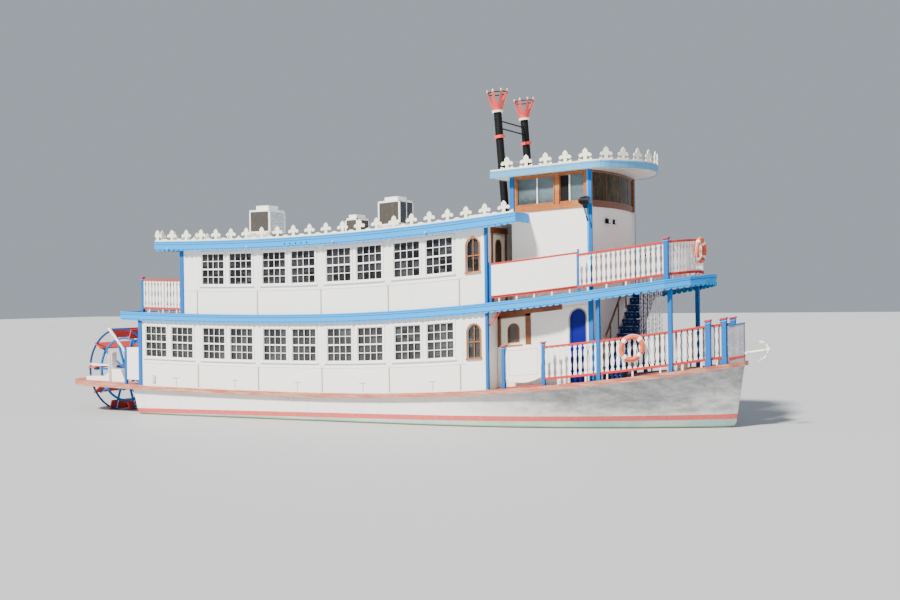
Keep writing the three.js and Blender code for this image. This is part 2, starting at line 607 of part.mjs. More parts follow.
function pilotCrest() {
  const board = plan(roofPlan(PILOT_CREST.edges[0]), [pilotCrestZ, pilotCrestZ + FINIAL.board]);
  const line = roofPlan(PILOT_CREST.line);
  const lengths = line.slice(1).map(([x, y], i) => Math.hypot(x - line[i][0], y - line[i][1]));
  const span = lengths.reduce((a, b) => a + b) - 2 * PILOT_CREST.first;
  const pitch = span / Math.round(span / FINIAL.pitch);
  return joined([board.subtract(plan(roofPlan(PILOT_CREST.edges[1]), [0, FAR])),
    ...finialsAlong(line, pilotCrestZ, PILOT_CREST.first, pitch)]);
}
place('pilothouse_crest', tower(pilotCrest), PAINT.cream);

// Chimneys, raked aft, with collars and flared crowns of points
const CHIMNEY = {
  x: 13020, y: 1000, r: 118, foot: ROOF + 62, top: 9160, rake: 250 / 3500,
  flange: { out: 90, z: [ROOF + 60 + GAP, ROOF + 110] }, tube: ROOF + 90, sunk: 20,
  collar: { out: 45, z: [8310, 8400] }, stays: { r: 22, z: [7690, 8640, 8870] }
};
const stackX = z => CHIMNEY.x - CHIMNEY.rake * (z - CHIMNEY.foot);
// Columns of the crown's outlines: radius, height over its foot. Notches part it into tines
const CROWN = {
  tines: 8,
  cup: [[0, 0], [150, 0], [165, 110], [335, 560], [335, 620], [295, 620], [125, 140], [0, 140]],
  hoop: [[296, 540], [322, 540], [322, 570], [296, 570], [296, 540]],
  notch: { foot: 190, top: 700, half: 95, reach: 400 }
};
function spun(outline, at, steps) {
  const g = new THREE.LatheGeometry(outline.map(p => new THREE.Vector2(...p)), steps);
  g.rotateX(Math.PI / 2);
  g.translate(...at);
  return solid(g);
}
function notchAt(at, turn) {
  const { foot, top, half, reach } = CROWN.notch;
  const g = new THREE.ExtrudeGeometry(shapeOf([[0, foot], [half, top], [-half, top]]),
    { depth: reach, bevelEnabled: false });
  g.rotateX(Math.PI / 2);
  g.rotateZ(turn);
  g.translate(...at);
  return solid(g);
}
function chimney(s) {
  const at = z => [stackX(z), s * CHIMNEY.y, z];
  const { flange, collar } = CHIMNEY;
  const tube = rod(CHIMNEY.r, at(CHIMNEY.tube), at(CHIMNEY.top), 12);
  const [flangeFoot, flangeTop] = flange.z.map(z => [CHIMNEY.x, s * CHIMNEY.y, z]);
  const base = rod(CHIMNEY.r + flange.out, flangeFoot, flangeTop, 12);
  const band = rod(CHIMNEY.r + collar.out, at(collar.z[0]), at(collar.z[1]), 12);
  const top = at(CHIMNEY.top - CHIMNEY.sunk);
  const cup = cutBy(spun(CROWN.cup, top, 16), Array.from({ length: CROWN.tines }, (_, i) =>
    notchAt(top, ((i + 0.5) * 2 * Math.PI) / CROWN.tines)));
  return joined([tube, base, band, cup, spun(CROWN.hoop, top, 16)]);
}
const stays = CHIMNEY.stays.z.map(z =>
  rod(CHIMNEY.stays.r, [stackX(z), -CHIMNEY.y, z], [stackX(z), CHIMNEY.y, z], 8));
place('chimneys', joined([chimney(-1), chimney(1), ...stays]), PAINT.black);

// Cooling units on bearers, with a fan cap. Columns: name, x range, y range, z of foot, top and cap
const COOLERS = [
  ['cooler_aft', [3570, 4410], [-1200, -300], [6100, 6870, 7040]],
  ['cooler_mid', [6930, 7410], [-500, 260], [5990, 6460, 6600]],
  ['cooler_fore', [8610, 9410], [-1200, -300], [6060, 6845, 6990]]
];
const ON_ROOF = ROOF + 60 + GAP;
for (const [name, x, y, [foot, top, cap]] of COOLERS) {
  const shrunk = (by, across) => [[x[0] + by, x[1] - by], [across[0] + by, across[1] - by]];
  const bearerAt = [[y[0], y[0] + 120], [y[1] - 120, y[1]]];
  const bearers = bearerAt.map(across => box(x, across, [ON_ROOF, foot]));
  const unit = [box(x, y, [foot, top]), box(...shrunk(90, y), [top - 10, cap])];
  place(name, joined([...unit, ...bearers]), PAINT.grey);
}
place('roof_locker', box([11900, 12600], [-1300, -700], [ON_ROOF, ROOF + 390]), PAINT.white);

// Rails: top and foot rail, flat balusters and the posts that carry them
const RAIL = { height: 1100, foot: 225, deep: 70, top: 60, wide: 70, slat: 62, thick: 30, sunk: 20, cap: 50 };
const PITCH = { main: 165, upper: 145, aft: 135 };
const alongRun = (a, b) => {
  const length = Math.hypot(b[0] - a[0], b[1] - a[1]);
  return { length, u: [(b[0] - a[0]) / length, (b[1] - a[1]) / length] };
};

// The plan of a strip along a run of points, mitred at its corners
function strip(points, half) {
  const normals = points.slice(1).map((b, i) => alongRun(points[i], b).u).map(u => [-u[1], u[0]]);
  const offset = side => points.map(([x, y], i) => {
    const before = normals[Math.max(0, i - 1)];
    const after = normals[Math.min(normals.length - 1, i)];
    const scale = (side * half) / (1 + before[0] * after[0] + before[1] * after[1]);
    return [x + (before[0] + after[0]) * scale, y + (before[1] + after[1]) * scale];
  });
  return [...offset(-1), ...offset(1).reverse()];
}

function railRun(points, z, posts, pitch, height = RAIL.height) {
  const parts = [plan(strip(points, RAIL.wide / 2), [z + height - RAIL.top, z + height]),
    plan(strip(points, RAIL.wide / 2 - 5), [z + RAIL.foot - RAIL.deep, z + RAIL.foot])];
  for (let i = 0; i + 1 < points.length; i += 1) {
    const [a, b] = [points[i], points[i + 1]];
    const { length, u } = alongRun(a, b);
    const n = [-u[1], u[0]];
    const count = Math.max(1, Math.round(length / pitch));
    for (let k = 0; k < count; k += 1) {
      const l = ((k + 0.5) * length) / count;
      const slat = [[l - RAIL.slat / 2, -RAIL.thick / 2], [l + RAIL.slat / 2, -RAIL.thick / 2],
        [l + RAIL.slat / 2, RAIL.thick / 2], [l - RAIL.slat / 2, RAIL.thick / 2]]
        .map(([p, q]) => [a[0] + u[0] * p + n[0] * q, a[1] + u[1] * p + n[1] * q]);
      parts.push(plan(slat, [z + RAIL.foot - RAIL.sunk, z + height - RAIL.sunk]));
    }
  }
  for (const [x, y, width, top, cap = 0] of posts) {
    parts.push(box([x - width / 2, x + width / 2], [y - width / 2, y + width / 2], [z + GAP, top]));
    const half = width / 2 + cap;
    if (cap) parts.push(box([x - half, x + half], [y - half, y + half], [top - RAIL.cap, top]));
  }
  return joined(parts);
}

const INSET = { main: 120, upper: 160 };
const mainRailY = x => edgeAt(DECK_EDGE, x) - INSET.main;
const upperRailY = x => edgeAt(UPPER_EDGE, x) - INSET.upper;
const UNDER = UPPER - DECK - GAP;
const GATE = {
  x: [13520, 14750], z: [MAIN + 250, MAIN + 1150], sag: MAIN + 130, post: MAIN + 1230, knuckle: 14.7
};
const BITT = { x: [19180, 19550], width: 150, top: MAIN + 1245 };
const MAIN_RAIL = [GATE.x[1], 15600, 16350, 16800, 17700, 18250, 18800, 19200, 19550];
const UPPER_RAIL = [13180, 14800, 16350, 17400, 18200];
const AFT_RAIL = { x: [20, UPPER_START - 60], y: 2500, height: 1190 };
const NAME_BOARD = { x: [13180, 14800, 15790], half: 42, z: [UPPER + 205, UPPER + 1150] };
const SCREEN = {
  x: [-800, -60], y: [2440, 2470], z: [MAIN + 160, MAIN + 1250], post: { half: 45, y: [2410, 2500] },
  strut: { outline: [[-830, 2080], [-760, 2080], [-1530, 2960], [-1610, 2920]], y: [2425, 2485] }
};
const upperRails = [];
const aftRails = [];
for (const [side, s] of SIDES) {
  const mainAt = x => [x, s * mainRailY(x)];
  const y = s * mainRailY(14100);
  const mainPosts = [...GATE.x.map(x => [...mainAt(x), 90, GATE.post, 30]), [...mainAt(16350), 110, UNDER],
    [...mainAt(18250), 120, UNDER], ...BITT.x.map(x => [...mainAt(x), BITT.width, BITT.top])];
  const toe = box(GATE.x, between(y - 25, y + 25), [MAIN + GAP, MAIN + 40]);
  const mainRun = railRun(MAIN_RAIL.map(mainAt), MAIN, mainPosts, PITCH.main);
  place(`main_rail_${side}`, mainRun.add(toe), PAINT.white);
  const gateX = [GATE.x[0] + 60, GATE.x[1] - 60];
  const gate = profile([[gateX[0], GATE.z[0]], [14135, GATE.sag], [gateX[1], GATE.z[0]],
    [gateX[1], GATE.z[1]], [gateX[0], GATE.z[1]]], [y - 18, y + 18]);
  place(`gate_${side}`, gate.add(knuckle(GATE.knuckle, gateX[0], y + s * 18, GATE.z)), PAINT.white);
  const upperAt = x => [x, s * upperRailY(x)];
  upperRails.push(plan(strip(NAME_BOARD.x.map(upperAt), NAME_BOARD.half), NAME_BOARD.z),
    railRun(UPPER_RAIL.map(upperAt), UPPER, [[...upperAt(13180), 90, UPPER + 1180],
      [...upperAt(15830), 50, UPPER + 1230], [...upperAt(18200), 130, UPPER + 1200, 30]], PITCH.upper));
  const aftAt = x => [x, s * AFT_RAIL.y];
  aftRails.push(railRun(AFT_RAIL.x.map(aftAt), UPPER, [[...aftAt(AFT_RAIL.x[0]), 90, UPPER + 1260, 25],
    [...aftAt(AFT_RAIL.x[1]), 90, ROOF - 62]], PITCH.aft, AFT_RAIL.height));
  const onSide = ([a, b]) => between(s * a, s * b);
  const screen = box(SCREEN.x, onSide(SCREEN.y), SCREEN.z);
  const { half } = SCREEN.post;
  const screenPosts = [[SCREEN.x[0], SCREEN.z[1]], [SCREEN.x[1], UNDER]].map(([x, top]) =>
    box([x - half, x + half], onSide(SCREEN.post.y), [MAIN + GAP, top]));
  const strut = risingBy(level, () => profile(SCREEN.strut.outline, onSide(SCREEN.strut.y)));
  place(`stern_screen_${side}`, joined([screen, ...screenPosts, strut]), PAINT.white);
}
// A bowed run from post to post across the bow
const NOSE = { x: 18200, half: upperRailY(18200), bow: 520 };
const noseR = (NOSE.half ** 2 + NOSE.bow ** 2) / (2 * NOSE.bow);
const noseSweep = (Math.asin(NOSE.half / noseR) * 180) / Math.PI;
const front = arc(NOSE.x + NOSE.bow - noseR, 0, noseR, -noseSweep, noseSweep, 8);
place('upper_rail', joined([...upperRails, railRun(front, UPPER, [], PITCH.upper)]), PAINT.white);
const acrossAft = [-1, 1].map(s => [AFT_RAIL.x[0], s * AFT_RAIL.y]);
aftRails.push(railRun(acrossAft, UPPER, [], PITCH.aft, AFT_RAIL.height));
place('aft_rail', joined(aftRails), PAINT.white);

// Stair that climbs across the foredeck from starboard to port
function treads() {
  const rise = (UPPER - 10 - MAIN) / STAIR.steps;
  const run = (STAIR.top - STAIR.foot) / STAIR.steps;
  return Array.from({ length: STAIR.steps }, (_, i) => {
    const y = STAIR.foot + i * run;
    const z = MAIN + GAP + i * rise;
    return box([STAIR.x[0] + 20, STAIR.x[1] - 20], [y, y + run + 40], [z + rise - 70, z + rise - 20]);
  });
}
const stringerOutline = [[STAIR.foot - 60, MAIN + GAP], [STAIR.foot + 220, MAIN + GAP],
  [STAIR.top + 100, UPPER - 290], [STAIR.top + 100, UPPER - 20], [STAIR.top - 40, UPPER - 20],
  [STAIR.foot - 60, MAIN + 240]];
const stringers = [STAIR.x[0], STAIR.x[1] - 50].map(x => section(stringerOutline, [x, x + 50]));
const stairMiddle = (STAIR.x[0] + STAIR.x[1]) / 2;
const levelTreads = risingBy((along, up) => houseRise(stairMiddle, up), treads);
place('stair', joined([...stringers, ...levelTreads]), PAINT.blue);

// Bow gear
const bowPanel = plan([[19640, -490], [20000, -90], [20000, 90], [19640, 490], [19640, 420], [19930, 60],
  [19930, -60], [19640, -420]], [MAIN + GAP, MAIN + 1000]);
place('bow_panel', bowPanel, PAINT.grey);
const ANCHOR = { x: [20000 + GAP, 20760], z: MAIN + 210, shank: 35, flukes: { x: 20600, r: 30, half: 260 } };
const shankEnds = ANCHOR.x.map(x => [x, 0, ANCHOR.z]);
const flukeTips = [-1, 1].map(s => [ANCHOR.flukes.x, s * ANCHOR.flukes.half, ANCHOR.z]);
place('anchor', joined([rod(ANCHOR.shank, ...shankEnds, 8), rod(ANCHOR.flukes.r, ...flukeTips, 8)]),
  PAINT.cream);

// A ring hung flat on the outside of a rail, part of the way from a to b
const RING = { r: 300, tube: 75, up: 770, main: 0.49, upper: 0.6 };
function lifeRing(a, b, part, z) {
  const turn = Math.atan2(b[1] - a[1], b[0] - a[0]);
  const out = RAIL.wide / 2 + RING.tube * Math.sin(Math.PI / 3) + GAP;
  const g = new THREE.TorusGeometry(RING.r, RING.tube, 6, 16);
  g.rotateX(Math.PI / 2);
  g.rotateZ(turn);
  g.translate(a[0] + (b[0] - a[0]) * part + out * Math.sin(turn),
    a[1] + (b[1] - a[1]) * part - out * Math.cos(turn), z);
  return solid(g);
}
const sideRail = [16800, 17700].map(x => [x, -mainRailY(x)]);
place('life_ring_main', lifeRing(...sideRail, RING.main, MAIN + RING.up), PAINT.ring);
place('life_ring_upper', lifeRing(front[3], front[4], RING.upper, UPPER + RING.up), PAINT.ring);

// Searchlight on an arm from the corner of the trunk
const LIGHT = { x: [15830, 16150], y: -2120, z: 6560, r: 110, arm: 30, armX: 15930 };
const searchlight = () => rod(LIGHT.r, [LIGHT.x[0], LIGHT.y, LIGHT.z], [LIGHT.x[1], LIGHT.y, LIGHT.z], 12)
  .add(rod(LIGHT.arm, [LIGHT.armX, LIGHT.y, LIGHT.z], [LIGHT.armX, -TRUNK.half - GAP, LIGHT.z], 8));
place('searchlight', risingBy(level, searchlight), PAINT.black);

export default ship;
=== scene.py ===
"""Looks of a stern-wheel excursion paddle steamer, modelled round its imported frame.

Pieces are drawn level, in metres, with X = 0 at the aft corner of the deckhouse and Z = 0 at the
waterline. A cage then gives them the sheer of the decks, and they move into the frame's own place.
"""

import math

import bpy
from mathutils import Matrix, Vector


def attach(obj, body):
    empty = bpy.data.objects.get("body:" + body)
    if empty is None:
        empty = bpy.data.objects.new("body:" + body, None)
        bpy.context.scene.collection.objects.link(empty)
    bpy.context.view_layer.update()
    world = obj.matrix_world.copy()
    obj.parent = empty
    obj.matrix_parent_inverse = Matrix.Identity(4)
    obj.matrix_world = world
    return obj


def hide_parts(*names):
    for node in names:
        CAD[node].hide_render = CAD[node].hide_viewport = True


bl_info = {
    "name": "Paddle Steamer Looks",
    "version": (1, 0, 0),
    "blender": (4, 5, 0),
    "location": "View3D > Sidebar > Steamer",
    "description": "Dresses the frame of a stern-wheel paddle steamer",
    "category": "Object",
}

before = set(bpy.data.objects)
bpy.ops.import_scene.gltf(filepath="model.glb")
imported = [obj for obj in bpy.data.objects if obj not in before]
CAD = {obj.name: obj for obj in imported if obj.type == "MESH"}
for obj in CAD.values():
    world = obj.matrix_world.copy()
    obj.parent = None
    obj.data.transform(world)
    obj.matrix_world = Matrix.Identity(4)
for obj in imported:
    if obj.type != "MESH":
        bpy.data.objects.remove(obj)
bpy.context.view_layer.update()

# Driving sizes of the ship, in metres
MIDSHIP = 8.4
DRAFT = 0.75
OFFSET = Vector((-MIDSHIP, 0.0, DRAFT))
GAP = 0.0003
BAY = 2.44
BAYS = 5
HALF_BEAM = 2.6
DECK = 0.12
MAIN = 0.9
UPPER = 3.33
ROOF = 5.67
ROOF_TOP = ROOF + 0.0603
UNDER = UPPER - DECK - GAP
EAVES = 2 * UPPER - MAIN
HOUSE_END = BAYS * BAY + 0.88
UPPER_START = 1.84
SIDES = (-1, 1)
SIDE_NAMES = {-1: "starboard", 1: "port"}

# Sheer of the decks, straight between frames set half a bay apart
KNOT = BAY / 2
FIRST_KNOT = -4
LAST_KNOT = 17


def curve(lowest, aft, fore):
    """Rise of a deck line over its lowest point, by two parabolas, straight between frames."""

    def at(x):
        return (aft if x < lowest else fore) * (x - lowest) ** 2

    def sheer(x):
        k = math.floor(x / KNOT)
        t = x / KNOT - k
        return at(k * KNOT) * (1 - t) + at((k + 1) * KNOT) * t

    return sheer


sheer_main = curve(7.0, 1.8e-3, 6.0e-3)
sheer_upper = curve(6.2, 3.0e-3, 6.2e-3)
sheer_roof = curve(4.5, 4.0e-3, 5.2e-3)


def tower_line(x):
    """Rise of the pilothouse, which stands on a straight line."""
    return 0.36 + 0.04 * (x - 15.0)


def between(t, a, b):
    """The value that lies at t of the way from a to b."""
    return a + (b - a) * t


def span(a, b):
    return (min(a, b), max(a, b))


def about(x, half):
    """Limits that lie half a width to either side of x."""
    return (x - half, x + half)


def beside(side, a, b):
    """Limits between two distances from the middle of the ship, on one side of it."""
    return span(side * a, side * b)


def on_wall(side, thick):
    return beside(side, HALF_BEAM, HALF_BEAM + thick)


def on_table(rows, x, column=1):
    """A column of a table at station x, by its first column."""
    for low, high in zip(rows, rows[1:]):
        if x <= high[0]:
            break
    return between((x - low[0]) / (high[0] - low[0]), low[column], high[column])


def arc(cx, cy, r, start, end, steps):
    """Points of a round stretch, angles in degrees."""
    angles = [math.radians(between(i / steps, start, end)) for i in range(steps + 1)]
    return [(cx + r * math.cos(a), cy + r * math.sin(a)) for a in angles]


# Half-breadths of the decks. Columns: station, half-breadth
DECK_EDGE = [
    (-0.37, 2.6), (11.0, 2.6), (13.0, 2.57), (14.7, 2.45), (16.3, 2.22), (17.4, 1.88),
    (18.4, 1.43), (19.2, 0.93), (19.7, 0.48), (19.99, 0.06),
]
UPPER_EDGE = [
    (-0.74, 2.68), (13.0, 2.68), (14.8, 2.56), (16.3, 2.33), (17.4, 2.01), (18.2, 1.68),
    (18.8, 1.18), (19.06, 0.56), (19.12, 0.08),
]


# Shaders

class Wire:
    """A value in a shader that can be added, multiplied and divided like a number."""

    def __init__(self, finish, socket):
        self.finish = finish
        self.socket = socket

    def maths(self, operation, a, b=0.0):
        return self.finish.node("ShaderNodeMath", {"operation": operation}, [a, b])

    def __add__(self, other):
        return self.maths("ADD", self, other)

    def __radd__(self, other):
        return self.maths("ADD", other, self)

    def __sub__(self, other):
        return self.maths("SUBTRACT", self, other)

    def __rsub__(self, other):
        return self.maths("SUBTRACT", other, self)

    def __mul__(self, other):
        return self.maths("MULTIPLY", self, other)

    def __rmul__(self, other):
        return self.maths("MULTIPLY", other, self)

    def __truediv__(self, other):
        return self.maths("DIVIDE", self, other)

    def fraction(self):
        """What is left over whole numbers."""
        return self.maths("FRACT", self)

    def size(self):
        """The value without its sign."""
        return self.maths("ABSOLUTE", self)


class Finish:
    """A material under construction, with its nodes made one by one."""

    def __init__(self, name):
        self.material = bpy.data.materials.new(name)
        self.material.use_nodes = True
        self.tree = self.material.node_tree
        self.shader = self.tree.nodes["Principled BSDF"]
        self.here = self.node("ShaderNodeTexCoord", out="Object")

    def node(self, kind, settings=None, values=(), out=0):
        made = self.tree.nodes.new(kind)
        for key, value in (settings or {}).items():
            setattr(made, key, value)
        pairs = values.items() if isinstance(values, dict) else enumerate(values)
        for key, value in pairs:
            self.feed(made.inputs[key], value)
        return Wire(self, made.outputs[out])

    def feed(self, socket, value):
        if isinstance(value, Wire):
            self.tree.links.new(value.socket, socket)
        else:
            socket.default_value = (*value, 1.0) if socket.type == "RGBA" else value

    def axes(self):
        """The place on the piece along X, Y and Z."""
        split = self.node("ShaderNodeSeparateXYZ", None, [self.here])
        outputs = split.socket.node.outputs
        return [Wire(self, outputs[i]) for i in range(3)]

    def noise(self, scale, detail=3.0, rough=0.55):
        """Cloudy noise from 0 to 1. Scale is one number, or one for each axis."""
        stretch = (scale,) * 3 if isinstance(scale, (int, float)) else scale
        at = self.node("ShaderNodeMapping", None, {"Vector": self.here, "Scale": stretch})
        values = {"Vector": at, "Scale": 1.0, "Detail": detail, "Roughness": rough}
        return self.node("ShaderNodeTexNoise", None, values)

    def step(self, value, low, high):
        """0 below low and 1 above high, smooth in between."""
        values = {"Value": value, "From Min": low, "From Max": high}
        return self.node("ShaderNodeMapRange", {"interpolation_type": "SMOOTHSTEP"}, values)

    def mix(self, mask, a, b):
        """Colour a where the mask is 0 and b where it is 1."""
        return self.node("ShaderNodeMix", {"data_type": "RGBA"}, {0: mask, 6: a, 7: b}, out=2)

    def done(self, colour, roughness=0.5, height=None, depth=0.002, **sockets):
        """Feeds the shader. Sockets name other inputs, with a space for each underscore."""
        self.feed(self.shader.inputs["Base Color"], colour)
        self.feed(self.shader.inputs["Roughness"], roughness)
        for key, value in sockets.items():
            self.feed(self.shader.inputs[key.replace("_", " ")], value)
        if height is not None:
            values = {"Height": height, "Distance": depth, "Strength": 0.8}
            bump = self.node("ShaderNodeBump", None, values)
            self.feed(self.shader.inputs["Normal"], bump)
        return self.material


WHITE, TRIM, PALE, BLUE = "white_paint", "trim_paint", "pale_trim_paint", "post_paint"
RED, CREAM, NAVY, BLACK = "rail_paint", "cream_paint", "dark_blue_paint", "black_paint"
CROWN, BLUSH, JOINT, GREY = "crown_paint", "blush_paint", "joint_paint", "grey_paint"
WORN_WHITE_IN_SHADE, ENAMEL, BOARD = "weathered_white", "door_enamel", "board_paint"
WOOD, CASING, DARK_WOOD_AND_RAIL_SHADE = "varnished_wood", "stained_casings", "dark_wood"

# Brushed paints. Columns: colour or its name among the looks, colour where worn, roughness, wear,
# streaks and, where it isn't 0.5, gloss
PAINTS = {
    WHITE: ((0.90, 0.90, 0.88), (0.52, 0.49, 0.42), 0.4, 0.1, 0.08),
    TRIM: ("trim", (0.03, 0.36, 0.70), 0.45, 0.15, 0.15, 0.2),
    PALE: ((0.10, 0.36, 0.62), (0.40, 0.58, 0.68), 0.4, 0.3, 0.4),
    BLUE: ("posts", (0.02, 0.18, 0.42), 0.42, 0.12, 0.12, 0.2),
    RED: ("rails", (0.50, 0.18, 0.14), 0.5, 0.25, 0.2, 0.25),
    CREAM: ((0.90, 0.87, 0.70), (0.60, 0.55, 0.42), 0.45, 0.08, 0.1),
    NAVY: ((0.003, 0.03, 0.15), (0.02, 0.06, 0.14), 0.45, 0.15, 0.2, 0.25),
    BLACK: ((0.004, 0.004, 0.005), (0.02, 0.017, 0.017), 0.45, 0.12, 0.2, 0.2),
    CROWN: ((0.72, 0.055, 0.045), (0.80, 0.36, 0.28), 0.4, 0.3, 0.35),
    BLUSH: ((0.80, 0.50, 0.42), (0.86, 0.80, 0.72), 0.5, 0.3, 0.3),
    JOINT: ((0.36, 0.32, 0.20), (0.55, 0.50, 0.36), 0.6, 0.4, 0.3),
    GREY: ((0.40, 0.42, 0.43), (0.25, 0.20, 0.16), 0.5, 0.3, 0.3),
    # The bow panel's dark lilac grey is painted shade on white paint; its pale streaks and spots are wear
    WORN_WHITE_IN_SHADE: ((0.27, 0.27, 0.33), (0.72, 0.72, 0.76), 0.5, 0.9, 0.9),
    DARK_WOOD_AND_RAIL_SHADE: ((0.16, 0.05, 0.02), (0.26, 0.11, 0.05), 0.35, 0.3, 0.4),
    ENAMEL: ((0.0, 0.001, 0.17), (0.0, 0.006, 0.12), 0.4, 0.08, 0.15, 0.2),
    BOARD: ((0.58, 0.045, 0.03), (0.40, 0.16, 0.10), 0.5, 0.4, 0.4),
}
MAKERS = {}
MADE = {}


def named(name, *given):
    """Keeps a function as the maker of the material of that name."""

    def keep(make):
        MAKERS[name] = lambda f: make(f, *given)
        return make

    return keep


def paint(name):
    """The material of that name, made at its first use."""
    if name not in MADE:
        f = Finish(name)
        MADE[name] = MAKERS[name](f) if name in MAKERS else brushed(f, *PAINTS[name])
    return MADE[name]


def chosen(colour):
    """A colour, or the one of that name that the user chose."""
    return tuple(getattr(looks(), colour)) if isinstance(colour, str) else colour


def shade(colour, by):
    """The colour made darker or lighter."""
    return tuple(min(1.0, c * by) for c in colour)


def brushed(f, colour, bare, roughness, wear, streaks, gloss=0.5):
    """Brushed paint: streaks that run down, fine brush marks and worn spots that show what is below."""
    colour = chosen(colour)
    cloud = f.noise(1.3, 5.0)
    runs = f.noise((7.0, 7.0, 0.6), 4.0)
    brush = f.noise((60.0, 60.0, 9.0), 2.0)
    fine = f.noise(24.0, 4.0, 0.65)
    dull = f.step(runs * 0.6 + cloud * 0.4, 0.45, 0.75) * streaks
    tone = f.mix(dull, colour, shade(bare, 0.8))
    lighter = f.mix(f.step(cloud, 0.3, 0.7) * 0.25, tone, shade(colour, 1.15))
    spots = f.step(fine * 0.7 + cloud * 0.3, 0.66 - 0.1 * wear, 0.72 - 0.1 * wear) * wear
    rough = roughness + 0.2 * cloud + 0.2 * spots
    bumps = brush * 0.4 + fine * 0.3 - spots * 0.6
    return f.done(f.mix(spots, lighter, bare), rough, bumps, 0.0015, Specular_IOR_Level=gloss)


@named(WOOD, "wood", (0.62, 0.34, 0.14))
# The casings get a darker copy of the brown wood: painted shade, as on the beam under the upper deck
@named(CASING, (0.23, 0.060, 0.010), (0.34, 0.13, 0.04))
def stained_and_shaded_boards(f, light, faded):
    """Brown boards with a long grain, across X and Y alike."""
    light = chosen(light)
    grain = f.noise((3.0, 3.0, 40.0), 6.0, 0.7)
    cross = f.noise((40.0, 40.0, 3.0), 6.0, 0.7)
    age = f.noise(1.6, 4.0)
    tone = f.mix(f.step(grain * 0.5 + cross * 0.5, 0.35, 0.65), shade(light, 0.5), light)
    dry = f.mix(f.step(age, 0.5, 0.75) * 0.5, tone, faded)
    return f.done(dry, 0.4 + 0.2 * age, cross * 0.5 + grain * 0.5, 0.002, Coat_Weight=0.15)


@named("deck_boards", 0.11)
def deck_boards(f, wide):
    """Red-brown deck boards along the ship, trodden bare in places."""
    seam = (f.axes()[1] / wide).fraction()
    gap = 1.0 - f.step((seam - 0.5).size(), 0.455, 0.49)
    cloud = f.noise(0.9, 5.0)
    grit = f.noise((8.0, 40.0, 40.0), 4.0, 0.7)
    worn = f.step(cloud * 0.6 + grit * 0.4, 0.48, 0.68)
    tone = f.mix(worn, (0.34, 0.10, 0.07), (0.50, 0.34, 0.27))
    colours = f.mix(gap, (0.06, 0.035, 0.03), tone)
    return f.done(colours, 0.55 + 0.25 * grit, gap * 0.7 + grit * 0.3, 0.004)


@named("guard_paint")
def guard_paint(f):
    """Faded salmon planking with scuffs from quays."""
    rub = f.noise((1.2, 1.2, 14.0), 5.0, 0.7)
    cloud = f.noise(0.8, 4.0)
    fine = f.noise(30.0, 4.0, 0.7)
    tone = f.mix(f.step(rub, 0.35, 0.62), (0.40, 0.095, 0.06), (0.54, 0.22, 0.15))
    pale = f.mix(f.step(rub * 0.5 + fine * 0.5, 0.52, 0.62) * 0.6, tone, (0.62, 0.50, 0.42))
    dirt = f.step(cloud * 0.7 + fine * 0.3, 0.58, 0.7) * 0.55
    dirty = f.mix(dirt, pale, (0.28, 0.25, 0.21))
    return f.done(dirty, 0.55 + 0.25 * fine, rub * 0.5 + fine * 0.5, 0.004)


@named("hull_paint")
def hull_paint(f):
    """White topsides, a red stripe with the sheer of the band, a teal bottom and slime at the water."""
    x, _, z = f.axes()
    ship = x + MIDSHIP
    above = z - DRAFT
    ripple = f.noise((2.0, 2.0, 8.0), 3.0) * 0.012
    edge = above - (0.075 + 0.010 * (ship - 1.0)) + ripple
    cloud = f.noise(0.7, 5.0)
    runs = f.noise((6.0, 6.0, 0.5), 4.0)
    fine = f.noise(26.0, 4.0, 0.65)
    # Painted shade over the forward topsides, mottled with painted reflections of the water's ripples
    mottle = f.noise((1.6, 1.6, 4.5), 6.0, 0.68)
    forward = f.step(ship, 11.0, 15.5) * f.step(above, 0.15, 0.55)
    painted_bow_shade = forward * (0.42 + 0.5 * f.step(mottle, 0.34, 0.68))
    white = f.mix(f.step(runs, 0.5, 0.8) * 0.3, (0.84, 0.84, 0.82), (0.58, 0.55, 0.46))
    dull = f.mix(painted_bow_shade, white, (0.24, 0.25, 0.26))
    scuffs = f.step(above, 0.52, 0.72) * f.step(cloud * 0.4 + fine * 0.6, 0.5, 0.62)
    upper = f.mix(scuffs * 0.35, dull, (0.35, 0.31, 0.27))
    red = f.mix(f.step(fine, 0.5, 0.7) * 0.5, (0.62, 0.09, 0.08), (0.72, 0.34, 0.30))
    teal = f.mix(f.step(cloud, 0.35, 0.65), (0.27, 0.46, 0.42), (0.42, 0.56, 0.50))
    slime = f.mix(f.step(above + ripple, 0.02, 0.09), (0.07, 0.10, 0.03), teal)
    striped = f.mix(f.step(edge, -0.004, 0.004), slime, red)
    colours = f.mix(f.step(edge, 0.146, 0.154), striped, upper)
    return f.done(colours, 0.35 + 0.25 * cloud, fine * 0.4 + runs * 0.3, 0.002)


@named("wall_paint")
def wall_paint(f):
    """White painted sheets with faint stains that run down from their seams."""
    runs = f.noise((9.0, 9.0, 0.5), 5.0, 0.65)
    cloud = f.noise(0.9, 4.0)
    fine = f.noise(40.0, 3.0)
    tone = f.mix(f.step(runs, 0.55, 0.8) * 0.22, (0.90, 0.90, 0.88), (0.66, 0.60, 0.48))
    colours = f.mix(f.step(cloud, 0.55, 0.8) * 0.12, tone, (0.66, 0.68, 0.70))
    return f.done(colours, 0.4 + 0.2 * cloud, runs * 0.5 + fine * 0.3, 0.0015)


